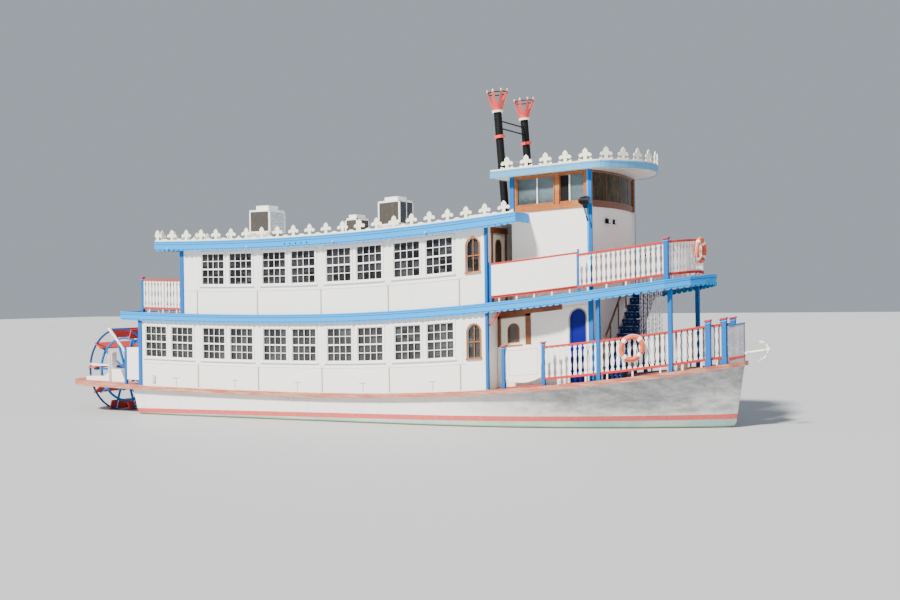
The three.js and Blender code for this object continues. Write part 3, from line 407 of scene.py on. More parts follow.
@named("roof_coating", 1.22)
def roof_coating(f, sheet):
    """White coating over sheets laid across the ship, with rims left by puddles and a little soot."""
    seam = ((f.axes()[0] / sheet).fraction() - 0.5).size()
    lap = f.step(seam, 0.486, 0.496)
    cloud = f.noise(0.7, 5.0, 0.6)
    puddle = f.noise((1.1, 1.6, 1.0), 4.0, 0.6)
    grit = f.noise(26.0, 4.0, 0.7)
    rim = f.step(puddle, 0.50, 0.56) * (1.0 - f.step(puddle, 0.56, 0.64))
    tone = f.mix(f.step(cloud, 0.4, 0.7) * 0.4, (0.80, 0.80, 0.78), (0.58, 0.57, 0.53))
    marked = f.mix(rim * 0.3, tone, (0.40, 0.37, 0.31))
    colours = f.mix(lap * 0.5, marked, (0.40, 0.40, 0.38))
    return f.done(colours, 0.5 + 0.2 * grit, grit * 0.4 - lap * 0.6, 0.003)


# Steps along X, Y and Z over which the tone of the glass changes, about a pane
PANE = (0.22, 8.0, 0.26)


@named("room_glass", (0.022, 0.023, 0.026), 0.35, 0.55)
@named("tinted_glass", (0.085, 0.12, 0.135), 0.2, 0.0)
def glass(f, tint, see_through, variety):
    """Window glass painted dark as the shade of the room behind it, wavy, a little dusty, and of its own
    tone in each pane.
    """
    wave = f.noise(2.2, 2.0)
    dust = f.noise(9.0, 5.0, 0.7)
    room_shade_cloud = f.noise((0.9, 0.9, 1.4), 3.0)
    snapped = f.node("ShaderNodeVectorMath", {"operation": "SNAP"}, {"Vector": f.here, 1: PANE})
    pane = f.node("ShaderNodeTexWhiteNoise", {"noise_dimensions": "3D"}, {"Vector": snapped})
    tone = f.step(room_shade_cloud * (1.0 - variety) + pane * variety, 0.25, 0.75)
    colour = f.mix(tone, shade(tint, 0.25), shade(tint, 2.1))
    dusty = f.mix(f.step(dust, 0.55, 0.8) * 0.3, colour, (0.30, 0.30, 0.28))
    solid = 1.0 - f.step(room_shade_cloud, 0.4, 0.6) * see_through
    return f.done(dusty, 0.06 + 0.08 * dust, wave, 0.004, Alpha=solid, Specular_IOR_Level=0.7)


@named("bow_glass")
def bow_glass(f):
    """Dark glass with a painted reflection of trees: bronze blotches and upright painted highlights, as on
    old panes.
    """
    reflection_blotch = f.noise((3.0, 3.0, 1.4), 5.0, 0.7)
    tall = f.noise((14.0, 14.0, 2.2), 4.0, 0.7)
    tone = f.mix(f.step(reflection_blotch, 0.38, 0.66), (0.018, 0.010, 0.004), (0.060, 0.045, 0.010))
    painted_highlight_mask = f.step(tall * 0.6 + reflection_blotch * 0.4, 0.52, 0.68) * 0.6
    painted_tree_reflection = f.mix(painted_highlight_mask, tone, (0.15, 0.11, 0.035))
    return f.done(painted_tree_reflection, 0.22 + 0.1 * reflection_blotch, tall, 0.003, Specular_IOR_Level=0.15)


@named("ring_skin")
def ring_skin(f):
    """Orange skin of a life ring, faded in places."""
    fine = f.noise(50.0, 4.0, 0.7)
    cloud = f.noise(5.0, 4.0)
    colour = f.mix(f.step(cloud, 0.4, 0.7) * 0.5, (0.68, 0.085, 0.02), (0.74, 0.20, 0.09))
    return f.done(colour, 0.5 + 0.2 * fine, fine, 0.001)


@named("coil_fins", (0.070, 0.058, 0.047), (0.018, 0.015, 0.013), 0.022)
@named("pale_louvres", (0.60, 0.68, 0.74), (0.36, 0.42, 0.47), 0.05)
@named("dark_coils", (0.035, 0.05, 0.085), (0.008, 0.010, 0.018), 0.03)
def grille(f, bright, dark, pitch):
    """Sheet-metal louvres over a dark coil, one in each pitch of height."""
    rib = ((f.axes()[2] / pitch).fraction() - 0.5).size()
    dust = f.noise(6.0, 4.0)
    colour = f.mix(f.step(rib, 0.2, 0.34), dark, bright)
    worn = f.mix(f.step(dust, 0.5, 0.75) * 0.3, colour, shade(bright, 1.7))
    return f.done(worn, 0.5 + 0.2 * dust, f.step(rib, 0.15, 0.4), 0.006)


@named("pale_floor")
def pale_floor(f):
    return f.done(f.mix(f.noise(0.05, 2.0), (0.42, 0.44, 0.46), (0.47, 0.48, 0.49)), 0.6)


# Modelling

def deselect():
    if bpy.context.object and bpy.context.object.mode != "OBJECT":
        bpy.ops.object.mode_set(mode="OBJECT")
    bpy.ops.object.select_all(action="DESELECT")


def choose(*pieces):
    """Selects the pieces, the first of them active."""
    deselect()
    for piece in pieces:
        piece.select_set(True)
    bpy.context.view_layer.objects.active = pieces[0]


def covered(material):
    """Gives the piece just added its material, by name."""
    piece = bpy.context.object
    piece.data.materials.clear()
    piece.data.materials.append(paint(material))
    return piece


def block(x, y, z, material):
    """A squared timber between the given limits."""
    deselect()
    middle = [(a[0] + a[1]) / 2 for a in (x, y, z)]
    size = [abs(a[1] - a[0]) for a in (x, y, z)]
    bpy.ops.mesh.primitive_cube_add(size=1, location=middle, scale=size)
    bpy.ops.object.transform_apply(location=True, rotation=False, scale=True)
    return covered(material)


def cutout(points, depth, across, material):
    """A board sawn to an outline. Its thickness lies along one axis, and the points on the others."""
    deselect()
    bpy.ops.mesh.primitive_circle_add(vertices=len(points), fill_type="NGON")
    piece = covered(material)
    for vertex, point in zip(piece.data.vertices, points):
        place = list(point)
        place.insert(across, depth[0])
        vertex.co = place
    move = [0.0, 0.0, 0.0]
    move[across] = depth[1] - depth[0]
    bpy.ops.object.mode_set(mode="EDIT")
    bpy.ops.mesh.select_all(action="SELECT")
    bpy.ops.mesh.extrude_region_move(TRANSFORM_OT_translate={"value": move})
    outward()
    return piece


def shelf(points, z, material):
    """A plate with the given plan, between two heights."""
    return cutout(points, z, 2, material)


def outward():
    """Turns all faces outwards and leaves edit mode."""
    bpy.ops.mesh.select_all(action="SELECT")
    bpy.ops.mesh.normals_make_consistent(inside=False)
    bpy.ops.object.mode_set(mode="OBJECT")


def rod(a, b, r, material, sides=12, tip=None):
    """A round bar from a to b, or a cone where tip gives its radius at b."""
    deselect()
    a, b = Vector(a), Vector(b)
    turn = (b - a).to_track_quat("Z", "Y").to_euler()
    place = {"depth": (b - a).length, "location": (a + b) / 2, "rotation": turn, "vertices": sides}
    if tip is None:
        bpy.ops.mesh.primitive_cylinder_add(radius=r, **place)
    else:
        bpy.ops.mesh.primitive_cone_add(radius1=r, radius2=tip, **place)
    bpy.ops.object.transform_apply(location=True, rotation=True, scale=False)
    return covered(material)


def turned(profile, at, material, steps=24, closed=False):
    """A body spun about a vertical axis from a profile of radius and height."""
    deselect()
    bpy.ops.mesh.primitive_circle_add(vertices=len(profile), fill_type="NOTHING")
    piece = covered(material)
    for vertex, (r, z) in zip(piece.data.vertices, profile):
        vertex.co = (at[0] + r, at[1], at[2] + z)
    ends = {0, len(profile) - 1}
    for edge in piece.data.edges:
        edge.select = not closed and set(edge.vertices) == ends
    for vertex in piece.data.vertices:
        vertex.select = not closed and vertex.index in ends
    bpy.ops.object.mode_set(mode="EDIT")
    bpy.ops.mesh.select_mode(type="EDGE")
    if not closed:
        bpy.ops.mesh.delete(type="EDGE")
    bpy.ops.mesh.select_all(action="SELECT")
    bpy.ops.mesh.spin(steps=steps, angle=2 * math.pi, center=at, axis=(0, 0, 1))
    bpy.ops.mesh.select_all(action="SELECT")
    bpy.ops.mesh.remove_doubles(threshold=1e-5)
    outward()
    return piece


def hollow(at, inner, outer, low, high, material, steps):
    """A ring with a square section about a vertical axis."""
    profile = [(inner, low), (outer, low), (outer, high), (inner, high)]
    return turned(profile, at, material, steps, closed=True)


def moved(piece, matrix):
    """Moves a piece's mesh, with its object left at the origin."""
    piece.data.transform(matrix)
    return piece


def copies(unit, matrices):
    """Copies of a finished unit, each with its own mesh. The unit itself goes."""
    twins = []
    for matrix in matrices:
        twin = unit.copy()
        twin.data = unit.data.copy()
        bpy.context.collection.objects.link(twin)
        twins.append(moved(twin, matrix))
    bpy.data.objects.remove(unit)
    return twins


def set_at(x, y, z, turn=0.0):
    return Matrix.Translation((x, y, z)) @ Matrix.Rotation(turn, 4, "Z")


def joined(pieces):
    choose(*pieces)
    if len(pieces) > 1:
        bpy.ops.object.join()
    return bpy.context.object


def eased(piece, width):
    """Takes the sharp edges off a piece."""
    choose(piece)
    bpy.ops.object.modifier_add(type="BEVEL")
    bevel = piece.modifiers[-1]
    bevel.width = width
    bevel.segments = 1
    bevel.limit_method = "ANGLE"
    bpy.ops.object.modifier_apply(modifier=bevel.name)
    return piece


def cage(name, at_eaves):
    """A cage whose three layers rise as the main deck, the upper deck and the eaves do."""
    deselect()
    frames = LAST_KNOT - FIRST_KNOT + 1
    middle = (FIRST_KNOT + LAST_KNOT) / 2 * KNOT
    bpy.ops.object.add(type="LATTICE", location=(middle, 0, UPPER))
    made = bpy.context.object
    made.name = name
    made.scale = ((frames - 1) * KNOT, 8.0, EAVES - MAIN)
    net = made.data
    net.points_u, net.points_v, net.points_w = frames, 2, 3
    for way in "uvw":
        setattr(net, "interpolation_type_" + way, "KEY_LINEAR")
    for layer, sheer in enumerate((sheer_main, sheer_upper, at_eaves)):
        for side in range(2):
            for k in range(frames):
                point = net.points[k + frames * (side + 2 * layer)]
                point.co_deform.z += sheer((FIRST_KNOT + k) * KNOT) / made.scale.z
    return made


CAGES = {}


def sheered(piece, kind="house"):
    """Gives a level piece the sheer of the ship, kinked at the frames as the decks are."""
    if kind not in CAGES:
        CAGES[kind] = cage("cage_" + kind, sheer_roof if kind == "house" else tower_line)
    choose(piece)
    spans = [corner[0] for corner in piece.bound_box]
    low, high = min(spans), max(spans)
    bpy.ops.object.mode_set(mode="EDIT")
    for k in range(FIRST_KNOT, LAST_KNOT + 1):
        if low + 0.05 < k * KNOT < high - 0.05:
            bpy.ops.mesh.select_all(action="SELECT")
            bpy.ops.mesh.bisect(plane_co=(k * KNOT, 0, 0), plane_no=(1, 0, 0))
    bpy.ops.object.mode_set(mode="OBJECT")
    bpy.ops.object.modifier_add(type="LATTICE")
    bend = piece.modifiers[-1]
    bend.object = CAGES[kind]
    bpy.ops.object.modifier_apply(modifier=bend.name)
    return piece


def deliver(pieces, name, replaces=(), body="ship", bend="house", ease=0.0, smooth=0):
    """Joins pieces into one, bends it to the sheer, sets it in the frame, names it, hangs it on its body and
    hides the parts that it replaces.

    Ease is the width taken off its edges, and smooth the angle in degrees that is shaded smoothly.
    """
    piece = joined(pieces)
    piece.name = name
    piece.data.name = name
    if ease:
        eased(piece, ease)
    if bend:
        sheered(piece, bend)
    moved(piece, Matrix.Translation(OFFSET))
    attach(piece, body)
    if replaces:
        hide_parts(*replaces)
    if smooth:
        choose(piece)
        bpy.ops.object.shade_smooth_by_angle(angle=math.radians(smooth))


def repaint(material, *nodes):
    """Gives CAD nodes a material."""
    for node in nodes:
        CAD[node].data.materials.clear()
        CAD[node].data.materials.append(paint(material))


def strip(points, half):
    """Plan of a band along a line of points, mitred at its corners."""
    normals = []
    for a, b in zip(points, points[1:]):
        run = (Vector(b) - Vector(a)).normalized()
        normals.append(Vector((-run.y, run.x)))
    edges = []
    for side in SIDES:
        edge = []
        for i, point in enumerate(points):
            before = normals[max(0, i - 1)]
            after = normals[min(len(normals) - 1, i)]
            scale = side * half / (1 + before.dot(after))
            edge.append(tuple(Vector(point) + (before + after) * scale))
        edges.append(edge)
    return edges[0] + edges[1][::-1]


def band(points, half, z, material):
    """A plate along a line of plan points, between two heights."""
    return shelf(strip(points, half), z, material)


def along(points, pitch):
    """Places and headings at even steps along a line of plan points, half a step in from each end."""
    placed = []
    for a, b in zip(points, points[1:]):
        run = Vector(b) - Vector(a)
        count = max(1, round(run.length / pitch))
        turn = math.atan2(run.y, run.x)
        for i in range(count):
            at = Vector(a) + run * ((i + 0.5) / count)
            placed.append((at.x, at.y, turn))
    return placed


# Hull

# Columns: x at deck, keel z, half-breadths of bottom, chine and side, chine z, and how far the keel,
# the chine and the side lie forward of the x at deck
HULL_ROWS = [
    (-0.37, -0.05, 2.3, 2.48, 2.56, 0.02, 0.19, 0.17, 0.15),
    (2.6, -DRAFT, 2.2, 2.48, 2.59, -0.48, 0, 0, 0),
    (11.0, -DRAFT, 2.15, 2.45, 2.56, -0.48, 0, 0, 0),
    (13.0, -DRAFT, 1.9, 2.25, 2.4, -0.48, 0, 0, 0),
    (14.7, -DRAFT, 1.5, 1.85, 2.08, -0.48, 0, 0, 0),
    (16.3, -DRAFT, 1.0, 1.35, 1.6, -0.46, 0, 0, 0),
    (17.4, -0.72, 0.62, 0.95, 1.2, -0.42, -0.06, -0.04, -0.02),
    (18.4, -0.62, 0.33, 0.56, 0.76, -0.33, -0.15, -0.09, -0.04),
    (19.2, -0.43, 0.14, 0.26, 0.4, -0.17, -0.3, -0.16, -0.07),
    (19.7, -0.2, 0.05, 0.09, 0.16, 0, -0.42, -0.21, -0.12),
    (19.99, 0.0, 0.012, 0.014, 0.018, 0.09, -0.33, -0.29, -0.25),
]
SIDE_Z = 0.15
HULL_STEP = 0.305
RUDDER_BOSS = {"x": 0.33, "y": 1.15, "z": (-0.225, 0.0), "r": 0.09}


def fair(rows, x, column):
    """A column of a table along a smooth line through its rows."""
    i = max(1, min(len(rows) - 1, next((n for n, r in enumerate(rows) if r[0] >= x), 1)))
    a, b = rows[i - 1], rows[i]
    before, after = rows[max(0, i - 2)], rows[min(len(rows) - 1, i + 1)]
    reach = b[0] - a[0]
    t = (x - a[0]) / reach
    start = (b[column] - before[column]) / max(b[0] - before[0], reach) * reach
    end = (after[column] - a[column]) / max(after[0] - a[0], reach) * reach
    cube, square = t ** 3, t ** 2
    value = ((2 * cube - 3 * square + 1) * a[column] + (cube - 2 * square + t) * start
             + (3 * square - 2 * cube) * b[column] + (cube - square) * end)
    return min(max(value, min(a[column], b[column])), max(a[column], b[column]))


def hull_ring(x):
    """One closed section of the hull, from the keel up the starboard side and back to port."""
    keel, bottom, chine, side, chine_z = (fair(HULL_ROWS, x, c) for c in range(1, 6))
    shifts = [fair(HULL_ROWS, x, c) for c in (6, 7, 8)]
    top = MAIN + sheer_main(x) - DECK - GAP
    edge = on_table(DECK_EDGE, x)
    half = [(x + shifts[0], bottom, keel), (x + shifts[1], chine, chine_z),
            (x + shifts[2], side, SIDE_Z)]
    for t in (0.25, 0.5, 0.75):
        flare = between(t, side, edge) - 0.25 * (edge - side) * t * (1 - t)
        half.append((between(t, x + shifts[2], x), flare, between(t, SIDE_Z, top)))
    half.append((x, edge, top))
    starboard = [(a, -b, c) for a, b, c in half]
    return [(x + shifts[0], 0.0, keel), *starboard, (x, 0.0, top), *half[::-1]]


def build_hull():
    reach = HULL_ROWS[-1][0] - HULL_ROWS[0][0]
    count = round(reach / HULL_STEP)
    rings = [hull_ring(HULL_ROWS[0][0] + reach * i / count) for i in range(count + 1)]
    around = len(rings[0])
    deselect()
    bpy.ops.mesh.primitive_grid_add(x_subdivisions=around, y_subdivisions=count)
    hull = covered("hull_paint")
    for i, ring in enumerate(rings):
        for j in range(around + 1):
            hull.data.vertices[i * (around + 1) + j].co = ring[j % around]
    bpy.ops.object.mode_set(mode="EDIT")
    bpy.ops.mesh.select_all(action="SELECT")
    bpy.ops.mesh.remove_doubles(threshold=1e-5)
    bpy.ops.mesh.select_mode(type="EDGE")
    bpy.ops.mesh.select_all(action="DESELECT")
    bpy.ops.mesh.select_non_manifold(extend=False, use_wire=False, use_multi_face=False,
                                     use_non_contiguous=False, use_verts=False)
    bpy.ops.mesh.fill()
    outward()
    bosses = []
    for s in SIDES:
        low, high = ((RUDDER_BOSS["x"], s * RUDDER_BOSS["y"], z) for z in RUDDER_BOSS["z"])
        bosses.append(rod(low, high, RUDDER_BOSS["r"], "hull_paint", 20))
    deliver([hull, *bosses], "hull_skin", ["hull"], bend=None, smooth=28)


def build_decks():
    repaint("deck_boards", "main_deck", "upper_deck")
    repaint("guard_paint", "guard", "stern_platform")
    repaint(GREY, "rudder_starboard", "rudder_port")
    repaint("roof_coating", "house_roof")
    repaint(TRIM, "upper_fascia", "roof_fascia")


def build_walls():
    sides = tuple(SIDE_NAMES.values())
    for storey in ("main", "upper"):
        repaint("wall_paint", *[f"{storey}_wall_{side}" for side in (*sides, "aft", "front")])
        repaint("room_glass", *[f"{storey}_glass_{side}" for side in sides])
    repaint("wall_paint", "cabin_walls", "trunk_walls")
    repaint(WOOD, "pilothouse_frame")
    repaint("tinted_glass", "pilothouse_glass")
    repaint(TRIM, "pilothouse_roof")


# Windows of the houses
WINDOW = {"width": 0.9, "height": 1.035, "in_pair": (0.269, 0.727), "stile": 0.016, "casing": 0.07}
SILLS = {"main": MAIN + GAP + 0.975, "upper": UPPER + GAP + 1.01}
FIRST_BAY = {"main": 0, "upper": 1}
ARCH = {"half": 0.205, "height": 0.95, "x": 12.655, "below": 0.035, "band": 0.045, "ledge": 0.265}


def window_unit():
    """A sliding sash window in its casing, seen from outside along +Y, its foot at the origin."""
    half, high, stile = WINDOW["width"] / 2, WINDOW["height"], WINDOW["stile"]
    wide = half + WINDOW["casing"]
    bar = looks().bar / 2
    inside, middle = (0.004, 0.034), high / 2
    rows = [(about(0.0, half + 0.1), (-0.05, 0.0), (-0.065, -0.02)),
            (about(0.0, wide), (-0.022, 0.0), (high, high + 0.08))]
    for s in SIDES:
        rows.append((beside(s, half, wide), (-0.018, 0.0), (-0.03, high + WINDOW["casing"])))
        rows.append((beside(s, half - stile, half), inside, (0.0, high)))
    for z in ((0.0, 0.025), about(middle, 0.023), (high - stile, high)):
        rows.append((about(0.0, half), inside, z))
    for sash in ((0.025, middle - 0.026), (middle + 0.026, high - stile)):
        rows.append((about(0.0, half), (0.014, 0.026), about(sum(sash) / 2, bar)))
    for i in (1, 2, 3):
        x = -half + stile + 2 * (half - stile) * i / 4
        rows.append((about(x, bar), (0.015, 0.025), (0.0, high)))
    return joined([block(*row, WHITE) for row in rows])


def build_windows():
    for storey, sill in SILLS.items():
        places = []
        for bay in range(FIRST_BAY[storey], BAYS):
            for at in WINDOW["in_pair"]:
                x = (bay + at) * BAY
                places.append(set_at(x, -HALF_BEAM, sill))
                places.append(set_at(x, HALF_BEAM, sill, math.pi))
        deliver(copies(window_unit(), places), f"{storey}_windows", ease=0.003)


def build_arched_windows():
    x, half, rim = ARCH["x"], ARCH["half"], ARCH["band"]
    parts = []
    for sill in SILLS.values():
        foot = sill - ARCH["below"]
        centre = foot + ARCH["height"] - half
        outer = [(x + half + rim, foot), *arc(x, centre, half + rim, 0, 180, 16), (x - half - rim, foot)]
        inner = [(x + half, foot), *arc(x, centre, half, 0, 180, 16), (x - half, foot)]
        for s in SIDES:
            parts.append(cutout(outer + inner[::-1], on_wall(s, 0.022), 1, WOOD))
            parts.append(block(about(x, ARCH["ledge"]), on_wall(s, 0.05), (foot - 0.05, foot), WOOD))
            inside = beside(s, HALF_BEAM - 0.045, HALF_BEAM - 0.025)
            parts.append(block(about(x, 0.012), inside, (foot, foot + 0.94), WOOD))
            parts.append(block(about(x, 0.2), inside, (foot + 0.44, foot + 0.47), WOOD))
    deliver(parts, "arched_window_frames", ease=0.003)


def build_wall_trim():
    """Battens, ledges and corner posts on the houses."""
    ledges, battens, posts = [], [], []
    storeys = (("main", 0.0, MAIN, UPPER - DECK), ("upper", UPPER_START, UPPER, ROOF - 0.06))
    for storey, aft, low, high in storeys:
        ledge = SILLS[storey] - 0.20
        reach = (aft + 0.1, BAYS * BAY + 0.25)
        for s in SIDES:
            ledges.append(block(reach, on_wall(s, 0.014), (ledge, ledge + 0.03), WHITE))
            for x in (bay * BAY for bay in range(FIRST_BAY[storey], BAYS + 1)):
                if x < reach[0]:
                    continue
                thin = on_wall(s, 0.010)
                battens.append(block(about(x, 0.02), thin, (low + 0.03, ledge - 0.01), JOINT))
                ledges.append(block(about(x, 0.11), thin, (ledge + 0.04, high - 0.02), WHITE))
            corner = beside(s, HALF_BEAM - 0.063, HALF_BEAM + 0.038)
            for x in ((aft - 0.098, aft + 0.048), (HOUSE_END - 0.038, HOUSE_END + 0.053)):
                posts.append(block(x, corner, (low + 0.002, high - 0.002), BLUE))
    deliver(ledges, "house_ledges", ease=0.003)
    deliver(battens, "house_battens")
    deliver(posts, "house_corner_posts", ease=0.006)


# Fascias and crests
ROOF_PLAN = {"x": (0.88, 14.1), "half": 2.78}
TRUNK = {"x": (13.6, 16.04), "half": 1.87, "nose": 0.24}
FASCIA_OUT = 0.045
# Heights of the lower and upper edge of each fascia
UPPER_FASCIA = (UPPER - 0.19, UPPER + 0.04)
ROOF_FASCIA = (ROOF - 0.13, ROOF + 0.13)
# Right half of a finial, from its neck to its tip. Columns: x, z over the board
FINIAL = [
    (0.062, 0.0), (0.046, 0.03), (0.050, 0.095), (0.085, 0.105), (0.125, 0.082), (0.168, 0.082),
    (0.192, 0.118), (0.182, 0.160), (0.140, 0.188), (0.075, 0.192), (0.082, 0.235), (0.062, 0.280),
    (0.032, 0.305), (0.0, 0.335),
]
CREST = {"pitch": BAY / 4, "z": ROOF_FASCIA[1] + GAP, "out": 0.022, "first": 0.96, "count": 22,
         "board": 0.05, "half": 0.014}


def scallop_unit():
    """A round tooth of the trim, one pitch wide, hung along X below the origin."""
    half = looks().scallop / 2
    tooth = arc(0.0, 0.0, half - 0.006, 0, -180, 10)
    outline = [(half, 0.03), (half, 0.0), *tooth, (-half, 0.0), (-half, 0.03)]
    return cutout([(x, z * 0.62 if z < 0 else z) for x, z in outline], (-0.012, 0.012), 1, TRIM)


def build_fascia_trim():
    out = FASCIA_OUT - 0.02
    edge = [(UPPER_EDGE[0][0] - FASCIA_OUT, UPPER_EDGE[0][1]), *UPPER_EDGE[1:]]
    starboard = [(x, -y - out) for x, y in edge]
    loop = [*starboard, *[(x, -y) for x, y in starboard[::-1]], starboard[0]]
    aft, fore = ROOF_PLAN["x"][0] - out, ROOF_PLAN["x"][1]
    half = ROOF_PLAN["half"] + out
    roof = [(fore, -half), (aft, -half), (aft, half), (fore, half)]
    for name, line, z in (("upper", loop, UPPER_FASCIA[0]), ("roof", roof, ROOF_FASCIA[0])):
        places = [set_at(x, y, z, turn) for x, y, turn in along(line, looks().scallop)]
        deliver(copies(scallop_unit(), places), name + "_scallops")


def crest_unit(pitch):
    """One finial on its length of wavy board, drawn along X with its foot at the origin."""
    half = pitch / 2
    board = [(half, 0.0), (half, 0.092), (half - 0.06, 0.082), (half - 0.11, 0.052), (0.1, 0.045),
             (0.06, 0.055)]
    right = board + [(x, z + CREST["board"]) for x, z in FINIAL]
    return cutout(right + [(-x, z) for x, z in right[-2::-1]], about(0.0, CREST["half"]), 1, CREAM)


def trimmed(piece, low, high):
    """Saws off what lies aft of low and forward of high."""
    choose(piece)
    bpy.ops.object.mode_set(mode="EDIT")
    for x, inner in ((low, True), (high, False)):
        bpy.ops.mesh.select_all(action="SELECT")
        bpy.ops.mesh.bisect(plane_co=(x, 0, 0), plane_no=(1, 0, 0), use_fill=True,
                            clear_inner=inner, clear_outer=not inner)
    outward()


def build_roof_crest():
    aft, fore = ROOF_PLAN["x"][0] - CREST["out"], ROOF_PLAN["x"][1] + 0.02
    y, z, pitch = ROOF_PLAN["half"] + CREST["out"], CREST["z"], CREST["pitch"]
    places = [set_at(CREST["first"] + k * pitch, s * y, z) for k in range(CREST["count"]) for s in SIDES]
    side_rows = joined(copies(crest_unit(pitch), places))
    trimmed(side_rows, aft, fore)
    count = int(2 * y / pitch)
    first = -(count - 1) * pitch / 2
    places = [set_at(aft, first + k * pitch, z, math.pi / 2) for k in range(count)]
    aft_row = copies(crest_unit(pitch), places)
    deliver([side_rows, *aft_row], "roof_crest_boards", ["roof_crest"])


# Pilothouse
SILL = 6.025
BAND = (SILL + GAP, SILL + 1.04)
PILOT_ROOF = {"from": 13.05, "over": 0.33, "z": (BAND[1] + GAP, BAND[1] + 0.21)}
PILOT_CREST = {"inset": 0.53, "pitch": 0.4}
TRUNK_POST = {"fore": (15.985, 16.135), "aft": (13.555, 13.695), "y": (1.85, 1.909),
              "bead": (15.99, 16.045)}
# Side panes of the pilothouse. Columns: x of the sash, x of its mullion
PILOT_PANES = (((13.76, 14.96), 14.42), ((15.12, 15.90), 15.44))
OPEN_PANE = (15.15, 15.40)
PILOT_LEDGE = (13.7, 15.98)
FLOODLIGHT = {"x": 16.24, "y": (-0.95, -0.42), "z": (5.52, 5.66)}


def bowed(grow, start):
    """Plan of the pilothouse and its roof, with a bowed front."""
    nose = TRUNK["nose"]
    half = TRUNK["half"] + grow
    r = (half * half + nose * nose) / (2 * nose)
    sweep = math.degrees(math.asin(half / r))
    return [(start - grow, -half), *arc(TRUNK["x"][1] + nose + grow - r, 0.0, r, -sweep, sweep, 16),
            (start - grow, half)]


def rounded(a, corner, b, reach=0.45, steps=5):
    """Points of a soft corner between the sides towards a and b."""
    a, corner, b = Vector(a), Vector(corner), Vector(b)
    start = corner + (a - corner).normalized() * min(reach, (a - corner).length * 0.9)
    end = corner + (b - corner).normalized() * min(reach, (b - corner).length * 0.9)
    turns = [i / steps for i in range(steps + 1)]
    return [tuple(start * (1 - t) ** 2 + corner * 2 * t * (1 - t) + end * t ** 2) for t in turns]


def pilot_roof_plan(grow):
    """Plan of the pilothouse roof, which reaches further out over the bow."""
    over = PILOT_ROOF["over"]
    plain = bowed(over + grow, PILOT_ROOF["from"] + over)
    line = [(x + 0.7 * max(0.0, 1 - (y / 2.3) ** 2) + 0.06 if x > 16.0 else x, y) for x, y in plain]
    return [line[0], *rounded(line[0], line[1], line[2]), *line[2:-2],
            *rounded(line[-3], line[-2], line[-1]), line[-1]]


def build_pilot_roof():
    z0, z1 = PILOT_ROOF["z"]
    roof = ["pilothouse_roof"]
    top = shelf(pilot_roof_plan(-0.03), (z0 + 0.012, z1 - 0.004), "roof_coating")
    deliver([top], "pilothouse_roof_top", roof, bend="tower")
    ring = pilot_roof_plan(-0.02)
    ring.append(ring[0])
    bands = [band(ring, 0.02, (z0, z1), PALE), band(ring, 0.028, (z1 - 0.05, z1 - 0.02), PALE)]
    deliver(bands, "pilothouse_fascia", roof, bend="tower", ease=0.004)


def build_trunk_posts():
    posts = []
    low, high = UPPER + 0.002, BAND[1] - 0.001
    for s in SIDES:
        inner, outer = TRUNK_POST["y"]
        posts.append(block(TRUNK_POST["fore"], beside(s, inner, outer), (low, high), BLUE))
        posts.append(block(TRUNK_POST["aft"], beside(s, inner, outer), (BAND[0], high), BLUE))
        posts.append(block(TRUNK_POST["bead"], beside(s, outer, outer + 0.012), (low, high), TRIM))
    deliver(posts, "trunk_posts", bend="tower", ease=0.006)


def build_floodlights():
    lamps = []
    x, (low, high) = FLOODLIGHT["x"], FLOODLIGHT["z"]
    for y in FLOODLIGHT["y"]:
        lamps.append(block((x - 0.01, x + 0.09), about(y, 0.1), (low, high), BLACK))
        lamps.append(block((x + 0.085, x + 0.1), about(y, 0.085), (low + 0.015, high - 0.015), WHITE))
        lamps.append(rod((x - 0.04, y, high + 0.06), (x + 0.04, y, high - 0.04), 0.015, BLACK))
    deliver(lamps, "floodlights", bend="tower")


def build_pilot_crest():
    z = PILOT_ROOF["z"][1] + GAP
    line = pilot_roof_plan(-0.026)
    runs = [(Vector(a), Vector(b) - Vector(a)) for a, b in zip(line, line[1:])]
    reach = sum(run.length for _, run in runs) - 2 * PILOT_CREST["inset"]
    pitch = reach / round(reach / CREST["pitch"])
    places = []
    past, after = 0.0, PILOT_CREST["inset"]
    for a, run in runs:
        while after < past + run.length:
            at = a + run * ((after - past) / run.length)
            places.append(set_at(at.x, at.y, z, math.atan2(run.y, run.x)))
            after += pitch
        past += run.length
    board = band(line + line[:1], 0.019, (z, z + 0.035), CREAM)
    rows = copies(crest_unit(PILOT_CREST["pitch"]), places)
    deliver([board, *rows], "pilothouse_crest_boards", ["pilothouse_crest"], bend="tower")


